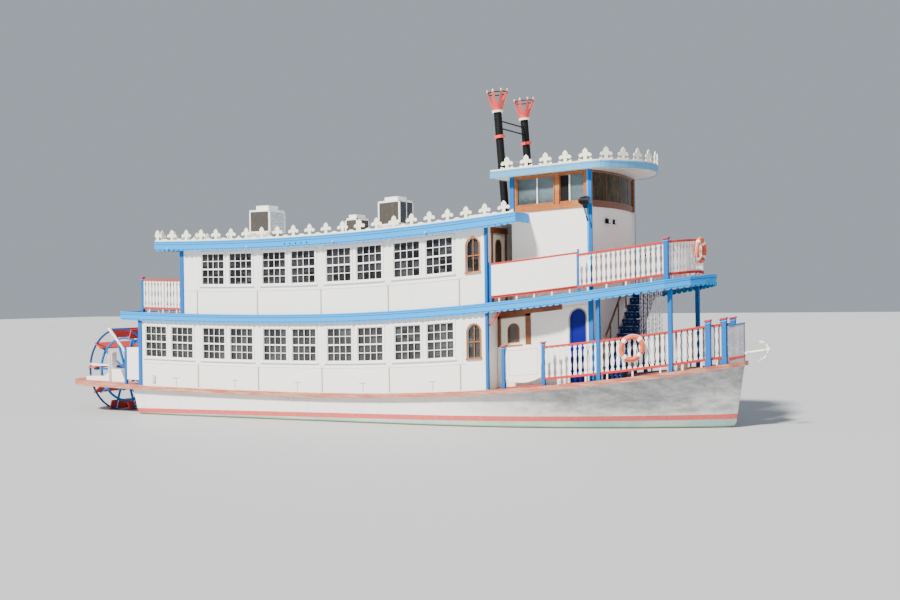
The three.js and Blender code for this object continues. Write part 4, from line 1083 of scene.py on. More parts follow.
def build_pilot_sashes():
    low, high = BAND[0] + 0.175, BAND[1] - 0.06
    inside = (low + 0.03, high - 0.03)
    half = TRUNK["half"]
    bars, sashes = [], []
    for s in SIDES:
        inner = beside(s, half - 0.045, half - 0.015)
        for (x0, x1), mullion in PILOT_PANES:
            bars += [block((x, x + 0.03), inner, (low, high), WOOD) for x in (x0, x1 - 0.03)]
            bars += [block((x0, x1), inner, (z, z + 0.03), WOOD) for z in (low, high - 0.03)]
            sashes.append(block(about(mullion, 0.018), inner, inside, WHITE))
        # One pane stands open: a black sheet behind it is painted shade of the room
        sashes.append(block(OPEN_PANE, beside(s, half - 0.058, half - 0.05), inside, BLACK))
        face = beside(s, half, half + 0.03)
        for z in (about(BAND[0] + 0.005, 0.025), (high + 0.01, BAND[1] - 0.004)):
            bars.append(block(PILOT_LEDGE, face, z, WOOD))
        (_, x0), (x1, _) = (pane for pane, _ in PILOT_PANES)
        bars += [block(about(x, 0.012), face, (low - 0.02, high), WOOD) for x in (x0, x1)]
    # The front pane carries a painted reflection of trees
    pane = band(bowed(0.014, 13.6)[1:-1], 0.004, (low - 0.02, high + 0.02), "bow_glass")
    deliver([pane], "pilothouse_front_pane", bend="tower")
    front = bowed(0.018, 13.6)[1:-1]
    for x, y in (front[4], front[8], front[12]):
        bars.append(rod((x, y, low), (x, y, high), 0.012, DARK_WOOD_AND_RAIL_SHADE, 8))
    for z in ((BAND[0] - 0.02, low), (high, BAND[1] - 0.004)):
        bars.append(band(front, 0.014, z, DARK_WOOD_AND_RAIL_SHADE))
    deliver(bars, "pilothouse_window_frames", bend="tower", ease=0.004)
    deliver(sashes, "pilothouse_mullions", bend="tower")


# Rails
RAIL = {"height": 1.1, "foot": 0.225, "deep": 0.07, "top": 0.06, "half": 0.035, "bays": 4}
# Posts of the rails that carry something. Columns: station, width and, for the upper ones, height, cap
COLUMNS = ((16.35, 0.11), (18.25, 0.12))
BITTS = {"x": (19.18, 19.55), "width": 0.15, "top": MAIN + 1.245, "cap": 0.02}
UPPER_POSTS = ((13.18, 0.09, 1.18, 0), (15.83, 0.05, 1.23, 0), (18.2, 0.13, 1.2, 0.03))
# Half-widths of a sawn baluster. Columns: part of its height, half-width
BALUSTER = [
    (0.0, 0.050), (0.06, 0.050), (0.12, 0.028), (0.22, 0.046), (0.34, 0.052), (0.46, 0.034),
    (0.54, 0.030), (0.66, 0.050), (0.78, 0.044), (0.88, 0.026), (0.94, 0.050), (1.0, 0.050),
]
GATE = {"x": (13.52, 14.75), "z": (MAIN + 0.25, MAIN + 1.15), "sag": MAIN + 0.13, "post": MAIN + 1.23}
MAIN_RAIL = (14.75, 15.6, 16.35, 16.8, 17.7, 18.25, 18.8, 19.2, 19.55)
UPPER_RAIL = (13.18, 14.8, 16.35, 17.4, 18.2)
AFT_RAIL = {"x": (0.02, UPPER_START - 0.06), "y": 2.5}
NAME_BOARD = {"x": (13.18, 14.8, 15.79), "half": 0.042, "z": (UPPER + 0.205, UPPER + 1.15)}
NOSE = {"x": 18.2, "bow": 0.52}


def main_rail_at(side, x):
    """Plan point of the main rail at station x."""
    return (x, side * (on_table(DECK_EDGE, x) - 0.12))


def upper_rail_at(side, x):
    return (x, side * (on_table(UPPER_EDGE, x) - 0.16))


def nose_line():
    """Plan of the bowed rail from post to post across the upper deck."""
    half = upper_rail_at(1, NOSE["x"])[1]
    r = (half ** 2 + NOSE["bow"] ** 2) / (2 * NOSE["bow"])
    sweep = math.degrees(math.asin(half / r))
    return arc(NOSE["x"] + NOSE["bow"] - r, 0.0, r, -sweep, sweep, 8)


class Railing:
    """The red, white and blue parts of rails that stand on one deck."""

    def __init__(self, name, z, pitch, height=RAIL["height"]):
        self.name, self.z, self.pitch, self.height = name, z, pitch, height
        self.red, self.white, self.blue = [], [], []

    def run(self, points):
        """Rails and balusters along a line of plan points."""
        z, top = self.z, self.z + self.height
        low = RAIL["foot"] - RAIL["deep"]
        self.red.append(band(points, RAIL["half"], (top - RAIL["top"], top), RED))
        self.red.append(band(points, RAIL["half"] - 0.006, (z + low, z + RAIL["foot"]), RED))
        foot, head = RAIL["foot"] - 0.004, self.height - RAIL["top"] + 0.004
        right = [(half, between(t, foot, head)) for t, half in BALUSTER]
        sawn = cutout(right + [(-x, z) for x, z in right[::-1]], (-0.011, 0.011), 1, WHITE)
        leg = block(about(0.0, 0.022), about(0.0, 0.02), (0.001, low), WHITE)
        for unit, pitch in ((sawn, self.pitch), (leg, self.pitch * RAIL["bays"])):
            self.white += copies(unit, [set_at(x, y, z, turn) for x, y, turn in along(points, pitch)])

    def post(self, at, width, top, cap=0.0):
        """A blue post with a foot and, where it ends free, a coral T-shaped cap."""
        half = width / 2
        low = self.z + GAP

        def square(reach, z, material):
            return block(about(at[0], reach), about(at[1], reach), z, material)

        self.blue.append(square(half, (low, top), BLUE))
        if cap:
            self.red.append(square(half + cap, (top - 0.05, top), RED))
            self.blue.append(square(half + cap * 0.4, (top - 0.11, top - 0.08), TRIM))
            self.blue.append(square(half + 0.012, (low + 0.003, low + 0.16), BLUE))

    def deliver(self, nodes):
        deliver(self.red, self.name + "_hand_rails", nodes, ease=0.006)
        deliver(self.white, self.name + "_balusters", nodes)
        deliver(self.blue, self.name + "_posts", nodes, ease=0.005)


def build_rails():
    main = Railing("main", MAIN, 0.165)
    for s in SIDES:
        main.run([main_rail_at(s, x) for x in MAIN_RAIL])
        for x in GATE["x"]:
            main.post(main_rail_at(s, x), 0.09, GATE["post"], 0.03)
        for x, width in COLUMNS:
            main.post(main_rail_at(s, x), width, UNDER)
        for x in BITTS["x"]:
            main.post(main_rail_at(s, x), BITTS["width"], BITTS["top"], BITTS["cap"])
        y = main_rail_at(s, 14.1)[1]
        main.red.append(block(GATE["x"], about(y, 0.025), (MAIN + GAP, MAIN + 0.04), RED))
    main.deliver(["main_rail_starboard", "main_rail_port"])

    upper = Railing("upper", UPPER, 0.145)
    half, (low, high) = NAME_BOARD["half"], NAME_BOARD["z"]
    boards = []
    for s in SIDES:
        upper.run([upper_rail_at(s, x) for x in UPPER_RAIL])
        for x, width, top, cap in UPPER_POSTS:
            upper.post(upper_rail_at(s, x), width, UPPER + top, cap)
        line = [upper_rail_at(s, x) for x in NAME_BOARD["x"]]
        boards.append(band(line, half, (low, high), WHITE))
        upper.red.append(band(line, half + 0.008, (high - 0.05, high + 0.004), RED))
        upper.red.append(band(line, half + 0.006, (low - 0.004, low + 0.03), RED))
    upper.run(nose_line())
    upper.deliver(["upper_rail"])
    deliver(boards, "name_boards", ["upper_rail"], ease=0.003)

    aft = Railing("aft", UPPER, 0.135, 1.19)
    for s in SIDES:
        line = [(x, s * AFT_RAIL["y"]) for x in AFT_RAIL["x"]]
        aft.run(line)
        aft.post(line[0], 0.09, UPPER + 1.26, 0.025)
        aft.post(line[1], 0.09, ROOF - 0.062)
    aft.run([(AFT_RAIL["x"][0], s * AFT_RAIL["y"]) for s in SIDES])
    aft.deliver(["aft_rail"])


def build_gates():
    x0, x1 = GATE["x"][0] + 0.06, GATE["x"][1] - 0.06
    z0, z1 = GATE["z"]
    sag = [(between(t, x0, x1), z0 - (z0 - GATE["sag"]) * (1 - (2 * t - 1) ** 2))
           for t in (k / 8 for k in range(9))]
    xs, zs = (x0 + 0.10, x1 - 0.10), (z0 + 0.10, z1 - 0.09)
    for s in SIDES:
        side = SIDE_NAMES[s]
        y = main_rail_at(s, 14.1)[1]
        parts = [cutout([*sag, (x1, z1), (x0, z1)], about(y, 0.014), 1, WHITE)]
        outer = [(low - 0.01, high + 0.01) for low, high in (xs, zs)]
        parts += [block(outer[0], about(y, 0.018), about(z, 0.01), BLUSH) for z in zs]
        parts += [block(about(x, 0.01), about(y, 0.018), outer[1], BLUSH) for x in xs]
        for z in (between(0.12, z0, z1), between(0.8, z0, z1)):
            parts.append(rod((x0, y + s * 0.018, z), (x0, y + s * 0.018, z + 0.12), 0.0145, GREY))
        gate = f"gate_{side}"
        deliver(parts, f"gate_leaf_{side}", [gate], body=gate + "_body", ease=0.002)


# Chimneys
CHIMNEY = {"x": 13.02, "y": 1.0, "r": 0.118, "top": 9.16, "rake": 0.25 / 3.5, "collar": (8.31, 8.4),
           "bands": (6.6, 7.45, 8.9)}
STAYS = (7.69, 8.64, 8.87)
TINES = 8
# Outline of the gap between two tines. Columns: x, z over the foot of the cup
NOTCH = [(0.0, 0.17), (0.058, 0.36), (0.108, 0.66), (-0.108, 0.66), (-0.058, 0.36)]
CUP = [
    (0.0, 0.0), (0.15, 0.0), (0.165, 0.11), (0.335, 0.56), (0.335, 0.62), (0.31, 0.62), (0.13, 0.14),
    (0.0, 0.14),
]
# Inner and outer radius, foot and head of the dark line inside the cup
CUP_LINE = (0.300, 0.322, 0.545, 0.572)
# Radius and height of the tip of a tine
TINE_TIP = (0.325, 0.62)


def chimney_at(s, z):
    return Vector((CHIMNEY["x"] - CHIMNEY["rake"] * (z - ROOF - 0.062), s * CHIMNEY["y"], z))


def carved(piece, tools):
    """Cuts the tools out of a piece, one after the other."""
    for tool in tools:
        choose(piece)
        bpy.ops.object.modifier_add(type="BOOLEAN")
        cut = piece.modifiers[-1]
        cut.object = tool
        cut.solver = "EXACT"
        bpy.ops.object.modifier_apply(modifier=cut.name)
        bpy.data.objects.remove(tool)
    return piece


def build_chimneys():
    black, red, cream = [], [], []
    r = CHIMNEY["r"]
    turns = [i * 2 * math.pi / TINES for i in range(TINES)]
    for s in SIDES:
        foot = chimney_at(s, ROOF + 0.09)
        black.append(rod(foot, chimney_at(s, CHIMNEY["top"]), r, BLACK, 28))
        black.append(rod((*foot.xy, ROOF_TOP), (*foot.xy, ROOF + 0.11), r + 0.09, BLACK, 28))
        for z in CHIMNEY["bands"]:
            black.append(rod(chimney_at(s, z), chimney_at(s, z + 0.02), r + 0.006, BLACK, 28))
        red.append(rod(*[chimney_at(s, z) for z in CHIMNEY["collar"]], r + 0.045, CROWN, 28))
        top = chimney_at(s, CHIMNEY["top"] - 0.02)
        tools = []
        for turn in turns:
            about_top = Matrix.Translation(top) @ Matrix.Rotation(turn + math.pi / TINES, 4, "Z")
            tools.append(moved(cutout(NOTCH, (-0.42, 0.0), 1, CROWN), about_top))
        red.append(carved(turned(CUP, top, CROWN, 32), tools))
        neck = [(0.119, -0.03), (0.168, -0.03), (0.172, 0.03), (0.119, 0.03)]
        cream.append(turned(neck, top, CREAM, 28, closed=True))
        black.append(hollow(top, *CUP_LINE, BLACK, 32))
        for turn in turns:
            reach, height = TINE_TIP
            tip = top + Vector((reach * math.cos(turn), reach * math.sin(turn), height))
            cream.append(rod(tip - Vector((0, 0, 0.035)), tip + Vector((0, 0, 0.03)), 0.022, CREAM, 8))
    for z in STAYS:
        group, material = (cream, GREY) if z == STAYS[0] else (black, BLACK)
        group.append(rod(*[chimney_at(s, z) for s in SIDES], 0.022, material, 10))
    deliver(black, "chimney_stacks", ["chimneys"], smooth=35)
    deliver(red, "chimney_crowns", ["chimneys"])
    deliver(cream, "chimney_rings", ["chimneys"])


# Doors
DOOR = {"width": 0.86, "height": 2.02, "thick": 0.045, "gap": 0.008, "knuckle": 0.0077, "stile": 0.1}
# Columns: name, station, width and height of a door in the side of the fore cabin
BROWN_DOOR = ("brown", 13.6, 0.8, 2.0)
BLUE_DOOR = ("blue", 15.66, 0.6, 2.08)
UPPER_DOOR_Y = 1.7
# Jambs and beam of the brown frame, and the knee braces aft of it. Columns of a brace: x, z of its ends
BROWN_JAMBS = ((13.1, 13.196), (14.004, 14.17))
BROWN_BEAM = (13.1, 15.17)
BRACE = {"ends": ((13.12, 2.72), (13.58, UNDER - 0.01)), "y": 2.50}
# Top of the white half wall below the brown frame, and of the frame below its beam
HALF_WALL = MAIN + 1.18
FRAME_TOP = UNDER - 0.24


def round_top(half, low, high, steps=14):
    """Outline of an opening with a round head."""
    return [(-half, low), (half, low), *arc(0.0, high - half, half, 0, 180, steps)]


def door_leaf(width, height, hinge, stiles, panels, pane=None):
    """A door seen from outside along +Y, its foot at the origin. Hinge is -1 for left, 1 for right.

    Pane gives the half-width, foot and head of its arched window.
    """
    half, thick, stile = width / 2, DOOR["thick"], DOOR["stile"]
    middle = 0.40 * height
    parts = [block(beside(s, half, half - 0.105), (0.0, thick), (0.0, height), stiles) for s in SIDES]
    for z in ((0.0, 0.20), about(middle, 0.06), (height - 0.13, height)):
        parts.append(block(about(0.0, half - stile), (0.0, thick), z, stiles))
    parts.append(block(about(0.0, half - stile), (0.014, thick - 0.014), (0.1, height - 0.1), panels))
    parts.append(block(about(0.0, half - 0.17), (0.007, thick - 0.007), (0.30, middle - 0.15), panels))
    if pane:
        reach, low, high = pane
        ring = round_top(reach + 0.03, low - 0.03, high + 0.03)
        parts.append(cutout(ring, (0.006, thick - 0.006), 1, WOOD))
        parts.append(cutout(round_top(reach, low, high), (0.003, thick - 0.003), 1, "room_glass"))
    knob = -hinge * (half - 0.055)
    parts.append(rod((knob, -0.03, 0.98), (knob, 0.0, 0.98), 0.016, GREY, 10))
    x = hinge * half
    for z in (0.12 * height, 0.8 * height):
        parts.append(rod((x, thick, z), (x, thick, z + 0.12), DOOR["knuckle"], GREY))
    return joined(parts)


def hang(leaf, name):
    deliver([leaf], f"leaf_{name}", [f"door_{name}"], body=f"door_{name}_body", ease=0.002)


def build_doors():
    wide, high = DOOR["width"] - 2 * DOOR["gap"], DOOR["height"] - DOOR["gap"] - 0.024
    for name, x, z in (("main_aft", 0.005, MAIN), ("upper_aft", UPPER_START + 0.005, UPPER)):
        leaf = door_leaf(wide, high, -1, WOOD, CREAM, (0.22, 0.97, 1.78))
        hang(moved(leaf, set_at(x, 0, z + 0.012, -math.pi / 2)), name)
    for s in SIDES:
        side = SIDE_NAMES[s]
        place = set_at(HOUSE_END - 0.005, s * UPPER_DOOR_Y, UPPER + 0.012, math.pi / 2)
        leaf = door_leaf(wide, high, s, CREAM, CREAM, (0.19, 1.22, 1.84))
        hang(moved(leaf, place), f"upper_{side}")
        turn = 0.0 if s < 0 else math.pi
        for name, x, width, height in (BROWN_DOOR, BLUE_DOOR):
            material, pane = (CREAM, (0.17, 1.29, 1.8)) if name == "brown" else (ENAMEL, None)
            leaf = door_leaf(width - 2 * DOOR["gap"], height - 0.02, s, material, material, pane)
            if name == "brown":
                rail = block(about(0.0, width / 2 - 0.1), (-0.012, 0.0), (1.17, 1.2), RED)
                leaf = joined([leaf, rail])
            place = set_at(x, s * (TRUNK["half"] - 0.005), MAIN + 0.012, turn)
            hang(moved(leaf, place), f"{name}_{side}")


def build_casings():
    """Frames on the walls round the doors, and the brown beam and posts of the foredeck."""
    brown, white, posts, braces = [], [], [], []
    half = DOOR["width"] / 2

    def jambs(face, y, z):
        """The two jambs of a door that faces along the ship."""
        for s in SIDES:
            side = span(y + s * (half + 0.004), y + s * (half + 0.10))
            brown.append(block(face, side, (z + 0.005, z + 2.03), CASING))

    for s in SIDES:
        y = s * UPPER_DOOR_Y
        jambs((HOUSE_END, HOUSE_END + 0.03), y, UPPER)
        head = (UPPER + 2.03, UPPER + 2.2)
        brown.append(block((HOUSE_END, HOUSE_END + 0.045), about(y, half + 0.13), head, CASING))
        skin, beam, rim = (beside(s, TRUNK["half"] + a, TRUNK["half"] + b)
                           for a, b in ((0.0, 0.03), (0.0, 0.05), (0.03, 0.04)))
        for jamb in BROWN_JAMBS:
            brown.append(block(jamb, skin, (HALF_WALL, FRAME_TOP), CASING))
            white.append(block(jamb, skin, (MAIN + 0.005, HALF_WALL), WHITE))
        brown.append(block((BROWN_JAMBS[0][0], BROWN_JAMBS[1][1]), skin, (MAIN + 2.004, FRAME_TOP), CASING))
        brown.append(block(BROWN_BEAM, beam, (FRAME_TOP, UNDER - 0.001), CASING))
        x, width, height = BLUE_DOOR[1:]
        wide = width / 2 + 0.09
        foot, head = MAIN + 0.005, MAIN + height - 0.02
        low, *arch = [(x + px, pz) for px, pz in round_top(0.25, foot, head - 0.03)]
        hole = [low, *arch[:0:-1], arch[0]]
        plate = [(x + wide, foot), (x + wide, head + 0.06), (x - wide, head + 0.06), (x - wide, foot)]
        white.append(cutout(plate + hole, skin, 1, WHITE))
        first, *rest = [(x + px, pz) for px, pz in round_top(0.285, foot, head + 0.005)]
        white.append(cutout([*rest, first, *hole], rim, 1, JOINT))
        tall = (MAIN + 0.002, UNDER - 0.002)
        posts.append(block(TRUNK_POST["fore"], beside(s, *TRUNK_POST["y"]), tall, BLUE))
        braces.append(rod(*[(x, s * BRACE["y"], z) for x, z in BRACE["ends"]], 0.03, CROWN, 8))
    for x, z in ((0.0, MAIN), (UPPER_START, UPPER)):
        jambs((x - 0.03, x), 0.0, z)
        brown.append(block((x - 0.03, x), about(0.0, half + 0.1), (z + 2.03, z + 2.13), CASING))
    deliver(brown, "brown_casings", ease=0.004)
    deliver(white, "white_casings", ease=0.002)
    deliver(posts, "cabin_posts", ease=0.005)
    deliver(braces, "knee_braces")


# Mouldings, lamps and vents. Columns of a row of lamps: count, first station, pitch, depth below the
# roof, how far it stands out, radius, material, sides
LAMPS = ((4, 1.4, 3.27, 0.10, 0.04, 0.035, GREY, 14), (5, 6.12, 0.21, 0.07, 0.014, 0.02, BLACK, 10))
VENT = {"x": (0.5, 0.62), "z": (MAIN + 0.10, MAIN + 0.36), "slats": 5, "pitch": 0.045}


def ring_round(rows, grow):
    """Closed line round a deck, from the middle of its aft edge and back to it."""
    ends = {0: -grow, len(rows) - 1: grow}
    side = [(x + ends.get(i, 0), y + grow) for i, (x, y) in enumerate(rows)]
    aft = side[0][0]
    return [(aft, 0.0), *[(x, -y) for x, y in side], *side[::-1], (aft, 0.0)]


def build_mouldings():
    light, dark = [], []
    aft, fore = ROOF_PLAN["x"][0] - FASCIA_OUT, ROOF_PLAN["x"][1] + 0.04
    half = ROOF_PLAN["half"] + FASCIA_OUT
    roof = [(fore, -half), (aft, -half), (aft, half), (fore, half)]
    for line, (low, high) in ((ring_round(UPPER_EDGE, FASCIA_OUT), UPPER_FASCIA), (roof, ROOF_FASCIA)):
        light.append(band(line, 0.012, (high - 0.035, high + 0.002), TRIM))
        light.append(band(line, 0.007, (low, low + 0.02), TRIM))
        # A dark blue line on each fascia is painted shade in a groove
        groove = between(0.56, low, high)
        dark.append(band(line, 0.004, (groove, groove + 0.016), BLUE))
    deliver(light, "fascia_mouldings", ease=0.003)
    deliver(dark, "fascia_grooves")
    end = (ROOF_PLAN["x"][1] + 0.001, ROOF_PLAN["x"][1] + 0.028)
    ends = [block(end, beside(s, TRUNK["half"] + 0.02, half - 0.02), (ROOF - 0.12, ROOF + 0.135), WHITE)
            for s in SIDES]
    deliver(ends, "roof_end_boards", ease=0.004)


def build_lamps_and_vents():
    lamps, vents = [], []
    for s in SIDES:
        y = s * (ROOF_PLAN["half"] + FASCIA_OUT)
        for count, first, pitch, below, out, r, material, sides in LAMPS:
            for k in range(count):
                x, z = first + k * pitch, ROOF - below
                lamps.append(rod((x, y, z), (x, y + s * out, z), r, material, sides))
        vents.append(block(VENT["x"], on_wall(s, 0.03), VENT["z"], GREY))
        slat = beside(s, HALF_BEAM + 0.03, HALF_BEAM + 0.042)
        for k in range(VENT["slats"]):
            z = VENT["z"][0] + 0.025 + k * VENT["pitch"]
            vents.append(block((VENT["x"][0] + 0.01, VENT["x"][1] - 0.01), slat, (z, z + 0.016), WHITE))
        # T-shaped marks below the windows of the main deck
        for x in (bay * BAY + 1.5 for bay in range(BAYS)):
            vents.append(block(about(x, 0.12), on_wall(s, 0.008), (MAIN + 0.3, MAIN + 0.325), GREY))
            vents.append(block(about(x, 0.012), on_wall(s, 0.008), (MAIN + 0.05, MAIN + 0.3), GREY))
    deliver(lamps, "fascia_lamps")
    deliver(vents, "wall_vents", ease=0.001)


# Paddle wheel and the stern
WHEEL = {"x": -1.98, "z": 1.43, "r": 1.52, "half": 1.45, "boards": 10}
SPIDER_Y = (-1.2, 0.0, 1.2)
# Hubs of a spider. Columns: half-width, radius, sides
HUBS = ((0.06, 0.15, 32), (0.075, 0.09, 24))


def on_axle(y, angle, axis="Y"):
    """A turn about a point of the wheel's axle."""
    return Matrix.Translation((WHEEL["x"], y, WHEEL["z"])) @ Matrix.Rotation(angle, 4, axis)


# Distances from the middle of the ship, and outlines or ranges along X and Z
SCREEN = {"x": (-0.8, -0.06), "y": (2.44, 2.47), "z": (MAIN + 0.16, MAIN + 1.25), "post_y": (2.41, 2.5)}
STRUT = {"outline": [(-0.83, 2.08), (-0.76, 2.08), (-1.53, 2.96), (-1.61, 2.92)], "y": (2.425, 2.485)}
BEARING = {"plates": ((MAIN + 0.02, 1.24), (1.345, 1.9)), "plate_y": (1.96, 1.985), "bar_x": (-2.9, -2.5),
           "bar_y": 1.895, "bar_z": (MAIN + 0.1, 1.415), "end": ((-3.0, -2.9), (1.40, 1.49)),
           "end_y": (1.85, 1.94)}


def hoop(y, inner, outer, half, material):
    """A flat ring round the wheel's axle."""
    ring = hollow((0.0, 0.0, 0.0), inner, outer, -half, half, material, 60)
    return moved(ring, on_axle(y, math.pi / 2, "X"))


def axle_rod(y0, y1, r, material, sides):
    """A round bar along the wheel's axle."""
    return rod((WHEEL["x"], y0, WHEEL["z"]), (WHEEL["x"], y1, WHEEL["z"]), r, material, sides)


def round_wheel(unit, places):
    """Copies of a unit drawn along +X from the axle. Places are pairs of angle and station across."""
    return copies(unit, [on_axle(y, angle) for angle, y in places])


def build_wheel():
    r = WHEEL["r"]
    angles = [i * 2 * math.pi / WHEEL["boards"] for i in range(WHEEL["boards"])]
    arms = [(a, y) for a in angles for y in SPIDER_Y]
    arm = block((0.12, r - 0.06), about(0.0, 0.03), about(0.0, 0.035), BLUE)
    parts = round_wheel(eased(arm, 0.006), arms)
    for y in SPIDER_Y:
        parts.append(hoop(y, 1.075, 1.145, 0.025, BLUE))
        parts += [axle_rod(*about(y, half), radius, NAVY, sides) for half, radius, sides in HUBS]
    parts.append(axle_rod(-1.98, 1.98, 0.05, GREY, 24))
    parts += round_wheel(block((r - 0.36, r - 0.05), about(0.0, 0.022), (0.035, 0.043), WHITE), arms)
    for x in (r - 0.21, r - 0.14):
        parts += round_wheel(rod((x, 0.0, 0.043), (x, 0.0, 0.06), 0.016, GREY, 6), arms)
    hub_bolt = rod((0.115, -0.07, 0.0), (0.115, 0.07, 0.0), 0.012, GREY, 6)
    parts += round_wheel(hub_bolt, [(a + 0.3, y) for a, y in arms])
    deliver(parts, "wheel_spiders", ["paddle_wheel"], body="paddle", bend=None)
    board = block((r - 0.34, r), about(0.0, WHEEL["half"]), (-0.0803, -0.0353), BOARD)
    red = round_wheel(eased(board, 0.005), [(a, 0.0) for a in angles])
    # The dark blue hoops that hold the boards are painted shade, so they pass for the shade inside the wheel
    red += [hoop(s * 1.41, 1.42, 1.48, 0.02, NAVY) for s in SIDES]
    deliver(red, "wheel_boards", ["paddle_boards"], body="paddle", bend=None)


def build_stern():
    repaint(WHITE, "wheel_bearing_starboard", "wheel_bearing_port")
    posts, screens, struts, irons = [], [], [], []
    nodes = ["stern_screen_starboard", "stern_screen_port"]
    for s in SIDES:
        screens.append(block(SCREEN["x"], beside(s, *SCREEN["y"]), SCREEN["z"], WHITE))
        for x, top in zip(SCREEN["x"], (SCREEN["z"][1], UNDER)):
            posts.append(block(about(x, 0.045), beside(s, *SCREEN["post_y"]), (MAIN + GAP, top), BLUE))
        struts.append(cutout(STRUT["outline"], beside(s, *STRUT["y"]), 1, WHITE))
        for z in BEARING["plates"]:
            irons.append(block(about(WHEEL["x"], 0.05), beside(s, *BEARING["plate_y"]), z, GREY))
        x, z = BEARING["end"]
        irons.append(block(x, beside(s, *BEARING["end_y"]), z, GREY))
        for x in BEARING["bar_x"]:
            low, high = ((x, s * BEARING["bar_y"], z) for z in BEARING["bar_z"])
            irons.append(rod(low, high, 0.014, GREY, 8))
    deliver(screens, "stern_screens", nodes, ease=0.004)
    deliver(posts, "stern_posts", nodes, ease=0.005)
    deliver(struts, "stern_struts", nodes, bend=None, ease=0.005)
    deliver(irons, "bearing_irons")


# Stair, and the strings of beads beside it
STAIR = {"x": (16.31, 16.96), "foot": -1.7, "top": 1.15, "steps": 12, "thick": 0.05, "studs": 4}
HAND = {"foot": (STAIR["foot"] - 0.04, 1.83), "head": (0.4, 3.64), "posts": (0.33, 0.66, 0.98), "tall": 0.78}
STRINGS = {"x": (17.0, 17.66), "y": -0.3, "count": 17, "length": 1.3, "beads": 9}


def build_stair():
    low, high = STAIR["foot"], STAIR["top"]
    x0, x1 = STAIR["x"]
    outline = [(low - 0.06, MAIN + GAP), (low + 0.22, MAIN + GAP), (high + 0.1, UPPER - 0.29),
               (high + 0.1, UPPER - 0.02), (high - 0.04, UPPER - 0.02), (low - 0.06, MAIN + 0.24)]
    # The fore stringer is dark blue as painted shade of a blue edge under the upper deck; the aft one is
    # grey
    sides = [cutout(outline, (x, x + STAIR["thick"]), 0, material)
             for x, material in ((x0, GREY), (x1 - STAIR["thick"], NAVY))]
    deliver(sides, "stair_stringers", ["stair"], ease=0.004)
    rise = (UPPER - 0.01 - MAIN) / STAIR["steps"]
    run = (high - low) / STAIR["steps"]
    sheers = [sheer(sum(STAIR["x"]) / 2) for sheer in (sheer_main, sheer_upper)]
    treads = []
    for i in range(STAIR["steps"]):
        y, z = low + i * run, MAIN + GAP + i * rise
        z += between((z - MAIN) / (UPPER - MAIN), *sheers)
        x = (x0 + 0.02, x1 - 0.02)
        treads.append(block(x, (y, y + run + 0.04), (z + rise - 0.07, z + rise - 0.02), NAVY))
        treads.append(block(x, (y + 0.02, y + 0.035), (z - 0.02, z + rise - 0.07), NAVY))
        for k in range(STAIR["studs"]):
            stud = x0 + 0.12 + k * 0.135
            treads.append(rod((stud, y + 0.012, z + 0.1), (stud, y + 0.02, z + 0.1), 0.012, CREAM, 8))
    deliver(treads, "stair_treads", ["stair"], bend=None, ease=0.003)
    x = x0 + 0.025
    a, b = Vector((x, *HAND["foot"])), Vector((x, *HAND["head"]))
    # The hand rail is dark brown as painted shade of a red rail under the upper deck
    hand = [rod(a, b, 0.03, DARK_WOOD_AND_RAIL_SHADE, 12)]
    tops = [a.lerp(b, t) for t in (0.02, *HAND["posts"])]
    feet = [MAIN + 0.2, *[top.z - HAND["tall"] for top in tops[1:]]]
    hand += [rod((x, top.y, foot), top, 0.022, DARK_WOOD_AND_RAIL_SHADE, 10) for top, foot in zip(tops, feet)]
    deliver(hand, "stair_handrail", ["stair"])


def build_strings():
    cords = []
    for i in range(STRINGS["count"]):
        x = between(i / (STRINGS["count"] - 1), *STRINGS["x"])
        y = STRINGS["y"] + 0.03 * math.sin(2.4 * i)
        length = STRINGS["length"] + 0.12 * math.sin(2.1 * i)
        cords.append(rod((x, y, UNDER - length), (x, y, UNDER - 0.002), 0.006, WHITE, 6))
        for k in range(STRINGS["beads"]):
            z = UNDER - length * (k + 0.6 + 0.3 * math.sin(1.7 * i + k)) / (STRINGS["beads"] + 0.5)
            cords.append(rod((x, y, z - 0.03), (x, y, z + 0.03), 0.014, WHITE, 8))
    deliver(cords, "bead_strings")


# Bow gear, rings and searchlight
ANCHOR_Z = MAIN + 0.21
# Half of the bow panel's plan
BOW_PANEL = ((19.64, 0.455), (19.965, 0.075))
FORE_STEP = ((18.0, 18.5), (-0.95, -0.55), (MAIN + 0.001, MAIN + 0.2))
# Shank, stock and crown of the anchor. Columns: ends in plan, radius, sides
ANCHOR_BARS = (((20.0003, 0), (20.74, 0), 0.032, 14), ((20.12, -0.26), (20.12, 0.26), 0.02, 12),
               ((20.68, -0.05), (20.68, 0.05), 0.045, 14))
RING = {"major": 0.3, "minor": 0.065, "line": 0.37, "below": 0.77}
LIGHT = {"x": (15.83, 16.15), "y": -2.12, "z": 6.56, "r": 0.11, "arm_x": 15.93}


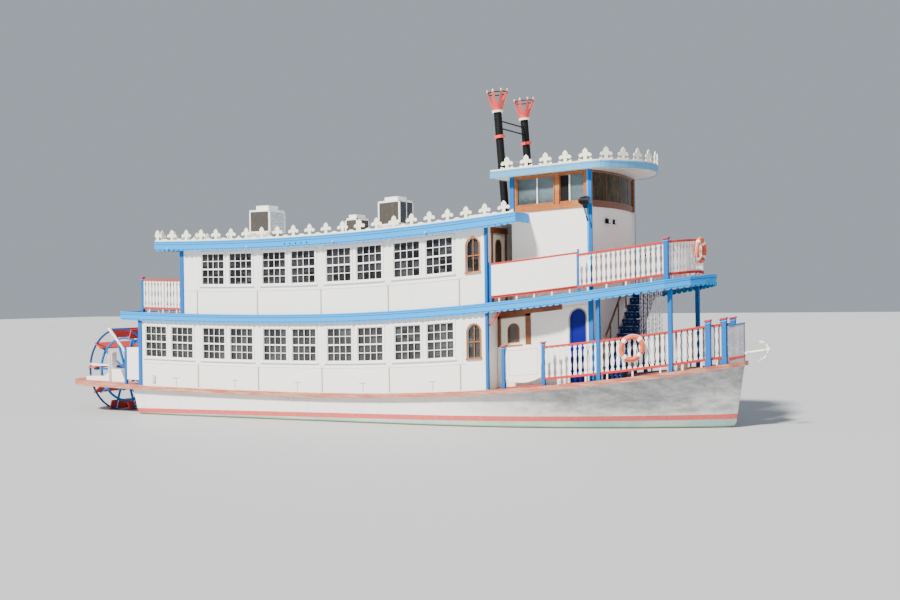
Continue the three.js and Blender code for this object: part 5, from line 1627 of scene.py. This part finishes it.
def build_bow():
    z = ANCHOR_Z
    parts = [rod((*a, z), (*b, z), r, CREAM, sides) for a, b, r, sides in ANCHOR_BARS]
    for s in SIDES:
        knee, tip = (20.60, 0, z + s * 0.18), (20.42, 0, z + s * 0.27)
        parts.append(rod((20.7, 0, z + s * 0.01), knee, 0.026, CREAM))
        parts.append(rod(knee, tip, 0.026, CREAM, tip=0.012))
        fluke = [(20.60, -0.07), (20.60, 0.07), (20.44, 0.0)]
        parts.append(shelf(fluke, span(z + s * 0.20, z + s * 0.215), CREAM))
        parts.append(rod((20.12, s * 0.25, z), (20.12, s * 0.275, z), 0.032, CREAM))
        parts.append(rod((20.6, s * 0.02, z), (20.6, s * 0.24, z), 0.018, CREAM))
    deliver(parts, "anchor_shape", ["anchor"], smooth=35)
    # The bow panel's dark lilac grey is painted shade on white paint
    repaint(WORN_WHITE_IN_SHADE, "bow_panel")
    starboard = [(x, -y) for x, y in BOW_PANEL]
    line = [*starboard, *BOW_PANEL[::-1]]
    caps = [band(line, 0.05, (MAIN + 1.0, MAIN + 1.035), BLUE),
            band(line, 0.042, (MAIN + 0.1, MAIN + 0.16), RED)]
    deliver(caps, "bow_panel_caps", ease=0.006)
    deliver([block(*FORE_STEP, CREAM)], "foredeck_step", ease=0.01)


def life_ring(a, b, part, z, name):
    """A ring hung on the outside of a rail from a to b, with four white bands and a grab line."""
    turn = math.atan2(b[1] - a[1], b[0] - a[0])
    out = RAIL["half"] + RING["minor"] + GAP
    x = between(part, a[0], b[0]) + out * math.sin(turn)
    y = between(part, a[1], b[1]) - out * math.cos(turn)
    parts = []
    for major, minor, around, material in ((RING["major"], RING["minor"], 16, "ring_skin"),
                                           (RING["line"], 0.006, 6, WHITE)):
        deselect()
        bpy.ops.mesh.primitive_torus_add(major_radius=major, minor_radius=minor, major_segments=48,
                                         minor_segments=around)
        parts.append(covered(material))
    for k in range(4):
        angles = about(math.radians(45 + 90 * k), 0.14)
        ends = [Vector((0.302 * math.cos(angle), 0.302 * math.sin(angle), 0)) for angle in angles]
        parts.append(rod(*ends, 0.0675, WHITE, 20))
        parts.append(rod(ends[0] * 1.2, ends[1] * 1.2, 0.02, WHITE, 8))
    ring = moved(joined(parts), set_at(x, y, z, turn) @ Matrix.Rotation(math.pi / 2, 4, "X"))
    deliver([ring], name + "_tube", [name], smooth=35)


def build_rings():
    aft, fore = (main_rail_at(-1, x) for x in (16.8, 17.7))
    life_ring(aft, fore, 0.49, MAIN + RING["below"], "life_ring_main")
    front = nose_line()
    life_ring(front[3], front[4], 0.6, UPPER + RING["below"], "life_ring_upper")


def build_searchlight():
    a, b = LIGHT["x"]
    y, z, r = LIGHT["y"], LIGHT["z"], LIGHT["r"]
    wall = -TRUNK["half"]

    def drum(x0, x1, radius, material=BLACK, sides=28, tip=None):
        return rod((x0, y, z), (x1, y, z), radius, material, sides, tip)

    parts = [drum(a + 0.05, b - 0.02, r - 0.004), drum(a, a + 0.06, 0.06, sides=24, tip=r - 0.004),
             drum(b - 0.03, b, r), drum(b - 0.004, b + 0.002, r - 0.015, "tinted_glass"),
             rod((LIGHT["arm_x"], y, z), (LIGHT["arm_x"], wall - GAP, z), 0.028, BLACK, 12)]
    mid = between(0.35, a, b)
    parts.append(rod((mid, y, z - r + 0.01), (mid + 0.12, y + 0.04, z - 0.52), 0.014, BLACK, 10))
    grip = ((mid + 0.10, y + 0.03, z - 0.44), (mid + 0.13, y + 0.045, z - 0.58))
    parts.append(rod(*grip, 0.024, BLACK, 12))
    parts.append(block((15.90, 16.02), (wall - 0.075, wall - 0.045), (z - 0.2, z + 0.16), NAVY))
    for x in (a + 0.09 + k * 0.035 for k in range(4)):
        parts.append(drum(x, x + 0.012, r + 0.004))
    deliver(parts, "searchlight_drum", ["searchlight"], bend=None, smooth=35)


# Cooling units. Columns: name, x range, y range, z of foot, top and cap
COOLERS = (
    ("cooler_aft", (3.57, 4.41), (-1.2, -0.3), (6.1, 6.87, 7.04)),
    ("cooler_mid", (6.93, 7.41), (-0.5, 0.26), (5.99, 6.46, 6.6)),
    ("cooler_fore", (8.61, 9.41), (-1.2, -0.3), (6.06, 6.845, 6.99)),
)


def inset(limits, by):
    return (limits[0] + by, limits[1] - by)


def build_coolers():
    repaint(WHITE, "roof_locker")
    for name, x, y, (foot, top, cap) in COOLERS:
        middle = [sum(v) / 2 for v in (x, y)]
        inner = [inset(v, 0.015) for v in (x, y)]
        window = (foot + 0.05, top - 0.06)
        parts = [block(x, y, (foot, foot + 0.05), WHITE), block(x, y, (top - 0.06, top), WHITE)]
        for a in x:
            for b in y:
                corner = [span(v, v + math.copysign(0.05, m - v)) for v, m in zip((a, b), middle)]
                parts.append(block(*corner, (foot, top), WHITE))
        fins = "pale_louvres" if name == "cooler_aft" else "coil_fins"
        parts.append(block(*inner, (foot + 0.04, top - 0.05), fins))
        if name == "cooler_fore":
            parts.append(block((x[1] - 0.03, x[1]), about(middle[1], 0.02), (foot, top), WHITE))
            parts.append(block((x[1] - 0.02, x[1] - 0.008), inset(y, 0.06), window, "dark_coils"))
        if name == "cooler_aft":
            (x0, x1), (y0, _) = inner
            parts.append(block((x0, x1 - 0.06), (y0 - 0.004, y0 + 0.1), window, "coil_fins"))
        small = [inset(v, 0.2 * (x[1] - x[0])) for v in (x, y)]
        parts.append(block(*small, (top - 0.01, cap - 0.02), WHITE))
        r = min(v[1] - v[0] for v in small) / 2 - 0.04
        parts.append(rod((*middle, cap - 0.03), (*middle, cap - 0.012), r, BLACK, 32))
        for part in (r * (k + 1) / 5 for k in range(5)):
            parts.append(hollow((*middle, cap - 0.012), part - 0.006, part, 0, 0.008, GREY, 32))
        for b in (y[0], y[1] - 0.12):
            parts.append(block(x, (b, b + 0.12), (ROOF_TOP, foot), GREY))
        deliver(parts, name + "_casing", [name], ease=0.003)


# Stage and camera
CAMERA = {"place": (20.5447, -35.6344, 4.6331), "heading": 27.3187, "pitch": -0.1725, "roll": -0.7775}
# Columns: name, direction it comes from, power, width in degrees, colour
LIGHTS = (
    ("key", (-0.24, -0.78, 0.85), 10.0, 6.0, (1.0, 0.96, 0.88)),
    ("fill", (0.6, -0.7, 0.5), 0.35, 40.0, (0.9, 0.95, 1.0)),
)
SKY = {"Color": (0.80, 0.88, 1.0, 1.0), "Strength": 0.48}


def build_stage():
    deselect()
    bpy.ops.mesh.primitive_plane_add(size=400, location=(0, 0, DRAFT))
    floor = covered("pale_floor")
    bpy.ops.object.transform_apply(location=True)
    floor.name = "floor"
    heading, pitch, roll = (math.radians(CAMERA[k]) for k in ("heading", "pitch", "roll"))
    flat = math.cos(pitch)
    ahead = Vector((-math.sin(heading) * flat, math.cos(heading) * flat, math.sin(pitch)))
    right = Vector((math.cos(heading), math.sin(heading), 0))
    up = right.cross(ahead)
    level_right = right * math.cos(roll) + up * math.sin(roll)
    level_up = up * math.cos(roll) - right * math.sin(roll)
    pose = Matrix((level_right, level_up, -ahead)).transposed().to_4x4()
    bpy.ops.object.camera_add()
    camera = bpy.context.object
    camera.matrix_world = Matrix.Translation(CAMERA["place"]) @ pose
    camera.data.lens = 50.0
    camera.data.sensor_width = 36.0
    camera.data.clip_end = 500.0
    scene = bpy.context.scene
    scene.camera = camera
    scene.world = scene.world or bpy.data.worlds.new("studio")
    scene.world.use_nodes = True
    for key, value in SKY.items():
        scene.world.node_tree.nodes["Background"].inputs[key].default_value = value
    for name, towards, power, width, colour in LIGHTS:
        bpy.ops.object.light_add(type="SUN", location=(0, 0, 30))
        lamp = bpy.context.object
        lamp.name = name
        lamp.rotation_euler = Vector(towards).to_track_quat("Z", "Y").to_euler()
        lamp.data.energy = power
        lamp.data.angle = math.radians(width)
        lamp.data.color = colour


def looks():
    """The sizes and colours that a user may change."""
    return bpy.context.scene.steamer_looks


class SteamerLooks(bpy.types.PropertyGroup):
    """Sizes and colours of the steamer's trim."""

    trim: bpy.props.FloatVectorProperty(
        name="Trim", description="Light blue of the fascias", subtype="COLOR",
        default=(0.0, 0.31, 0.80), min=0.0, max=1.0)
    posts: bpy.props.FloatVectorProperty(
        name="Posts", description="Blue of the posts and columns", subtype="COLOR",
        default=(0.0, 0.12, 0.42), min=0.0, max=1.0)
    rails: bpy.props.FloatVectorProperty(
        name="Rails", description="Faded red of the hand rails", subtype="COLOR",
        default=(0.50, 0.035, 0.03), min=0.0, max=1.0)
    wood: bpy.props.FloatVectorProperty(
        name="Wood", description="Brown of the varnished frames", subtype="COLOR",
        default=(0.48, 0.15, 0.03), min=0.0, max=1.0)
    bar: bpy.props.FloatProperty(
        name="Glazing bar", description="Width of a glazing bar", unit="LENGTH", default=0.020, min=0.01)
    scallop: bpy.props.FloatProperty(
        name="Scallop", description="Pitch of the fascia's teeth", unit="LENGTH", default=0.2, min=0.05)


def build(*steps):
    """Runs the steps of an operator."""
    for step in steps:
        step()
    return {"FINISHED"}


class STEAMER_OT_stage(bpy.types.Operator):
    """Lay the floor and set up lamps and camera."""

    bl_idname = "steamer.stage"
    bl_label = "Stage"

    def execute(self, context):
        return build(build_stage)


class STEAMER_OT_hull(bpy.types.Operator):
    """Fair the hull and paint it with its stripe and bottom."""

    bl_idname = "steamer.hull"
    bl_label = "Hull"

    def execute(self, context):
        return build(build_hull)


class STEAMER_OT_decks(bpy.types.Operator):
    """Finish the decks, guard and roofs."""

    bl_idname = "steamer.decks"
    bl_label = "Decks"

    def execute(self, context):
        return build(build_decks)


class STEAMER_OT_houses(bpy.types.Operator):
    """Finish the walls and add windows and trim."""

    bl_idname = "steamer.houses"
    bl_label = "Houses"

    def execute(self, context):
        return build(build_walls, build_windows, build_arched_windows, build_wall_trim)


class STEAMER_OT_fascias(bpy.types.Operator):
    """Hang the scalloped trim and set up the crest of finials."""

    bl_idname = "steamer.fascias"
    bl_label = "Fascias and crest"

    def execute(self, context):
        return build(build_fascia_trim, build_roof_crest)


class STEAMER_OT_pilothouse(bpy.types.Operator):
    """Finish the pilothouse, its roof and its crest."""

    bl_idname = "steamer.pilothouse"
    bl_label = "Pilothouse"

    def execute(self, context):
        return build(build_pilot_roof, build_pilot_crest, build_trunk_posts, build_pilot_sashes,
                     build_floodlights)


class STEAMER_OT_rails(bpy.types.Operator):
    """Set up rails with sawn balusters, posts, name boards and gates."""

    bl_idname = "steamer.rails"
    bl_label = "Rails and gates"

    def execute(self, context):
        return build(build_rails, build_gates)


class STEAMER_OT_chimneys(bpy.types.Operator):
    """Raise the raked chimneys with their crowns."""

    bl_idname = "steamer.chimneys"
    bl_label = "Chimneys"

    def execute(self, context):
        return build(build_chimneys)


class STEAMER_OT_doors(bpy.types.Operator):
    """Hang the doors and case their openings."""

    bl_idname = "steamer.doors"
    bl_label = "Doors"

    def execute(self, context):
        return build(build_doors, build_casings)


class STEAMER_OT_mouldings(bpy.types.Operator):
    """Add mouldings, lamps and vents."""

    bl_idname = "steamer.mouldings"
    bl_label = "Mouldings and lamps"

    def execute(self, context):
        return build(build_mouldings, build_lamps_and_vents)


class STEAMER_OT_wheel(bpy.types.Operator):
    """Build the paddle wheel and the stern round it."""

    bl_idname = "steamer.wheel"
    bl_label = "Paddle wheel and stern"

    def execute(self, context):
        return build(build_wheel, build_stern)


class STEAMER_OT_stair(bpy.types.Operator):
    """Build the foredeck stair and the strings of beads beside it."""

    bl_idname = "steamer.stair"
    bl_label = "Stair"

    def execute(self, context):
        return build(build_stair, build_strings)


class STEAMER_OT_bow(bpy.types.Operator):
    """Fit the bow gear, life rings and searchlight."""

    bl_idname = "steamer.bow"
    bl_label = "Bow gear, rings and searchlight"

    def execute(self, context):
        return build(build_bow, build_rings, build_searchlight)


class STEAMER_OT_coolers(bpy.types.Operator):
    """Build the cooling units on the roof."""

    bl_idname = "steamer.coolers"
    bl_label = "Cooling units"

    def execute(self, context):
        return build(build_coolers)


OPERATORS = (
    STEAMER_OT_stage, STEAMER_OT_hull, STEAMER_OT_decks, STEAMER_OT_houses, STEAMER_OT_fascias,
    STEAMER_OT_pilothouse, STEAMER_OT_rails, STEAMER_OT_chimneys, STEAMER_OT_doors, STEAMER_OT_mouldings,
    STEAMER_OT_wheel, STEAMER_OT_stair, STEAMER_OT_bow, STEAMER_OT_coolers,
)


class STEAMER_PT_panel(bpy.types.Panel):
    """Lists the steps that dress the steamer."""

    bl_label = "Paddle Steamer"
    bl_idname = "STEAMER_PT_panel"
    bl_space_type = "VIEW_3D"
    bl_region_type = "UI"
    bl_category = "Steamer"

    def draw(self, context):
        for key in SteamerLooks.__annotations__:
            self.layout.prop(context.scene.steamer_looks, key)
        for operator in OPERATORS:
            self.layout.operator(operator.bl_idname)


CLASSES = (SteamerLooks, *OPERATORS, STEAMER_PT_panel)


def register():
    for item in CLASSES:
        bpy.utils.register_class(item)
    bpy.types.Scene.steamer_looks = bpy.props.PointerProperty(type=SteamerLooks)


def unregister():
    del bpy.types.Scene.steamer_looks
    for item in reversed(CLASSES):
        bpy.utils.unregister_class(item)


def main():
    register()
    for operator in OPERATORS:
        group, step = operator.bl_idname.split(".")
        getattr(getattr(bpy.ops, group), step)()
    for made in CAGES.values():
        bpy.data.objects.remove(made)
    bpy.context.view_layer.update()


if __name__ == "__main__":
    main()
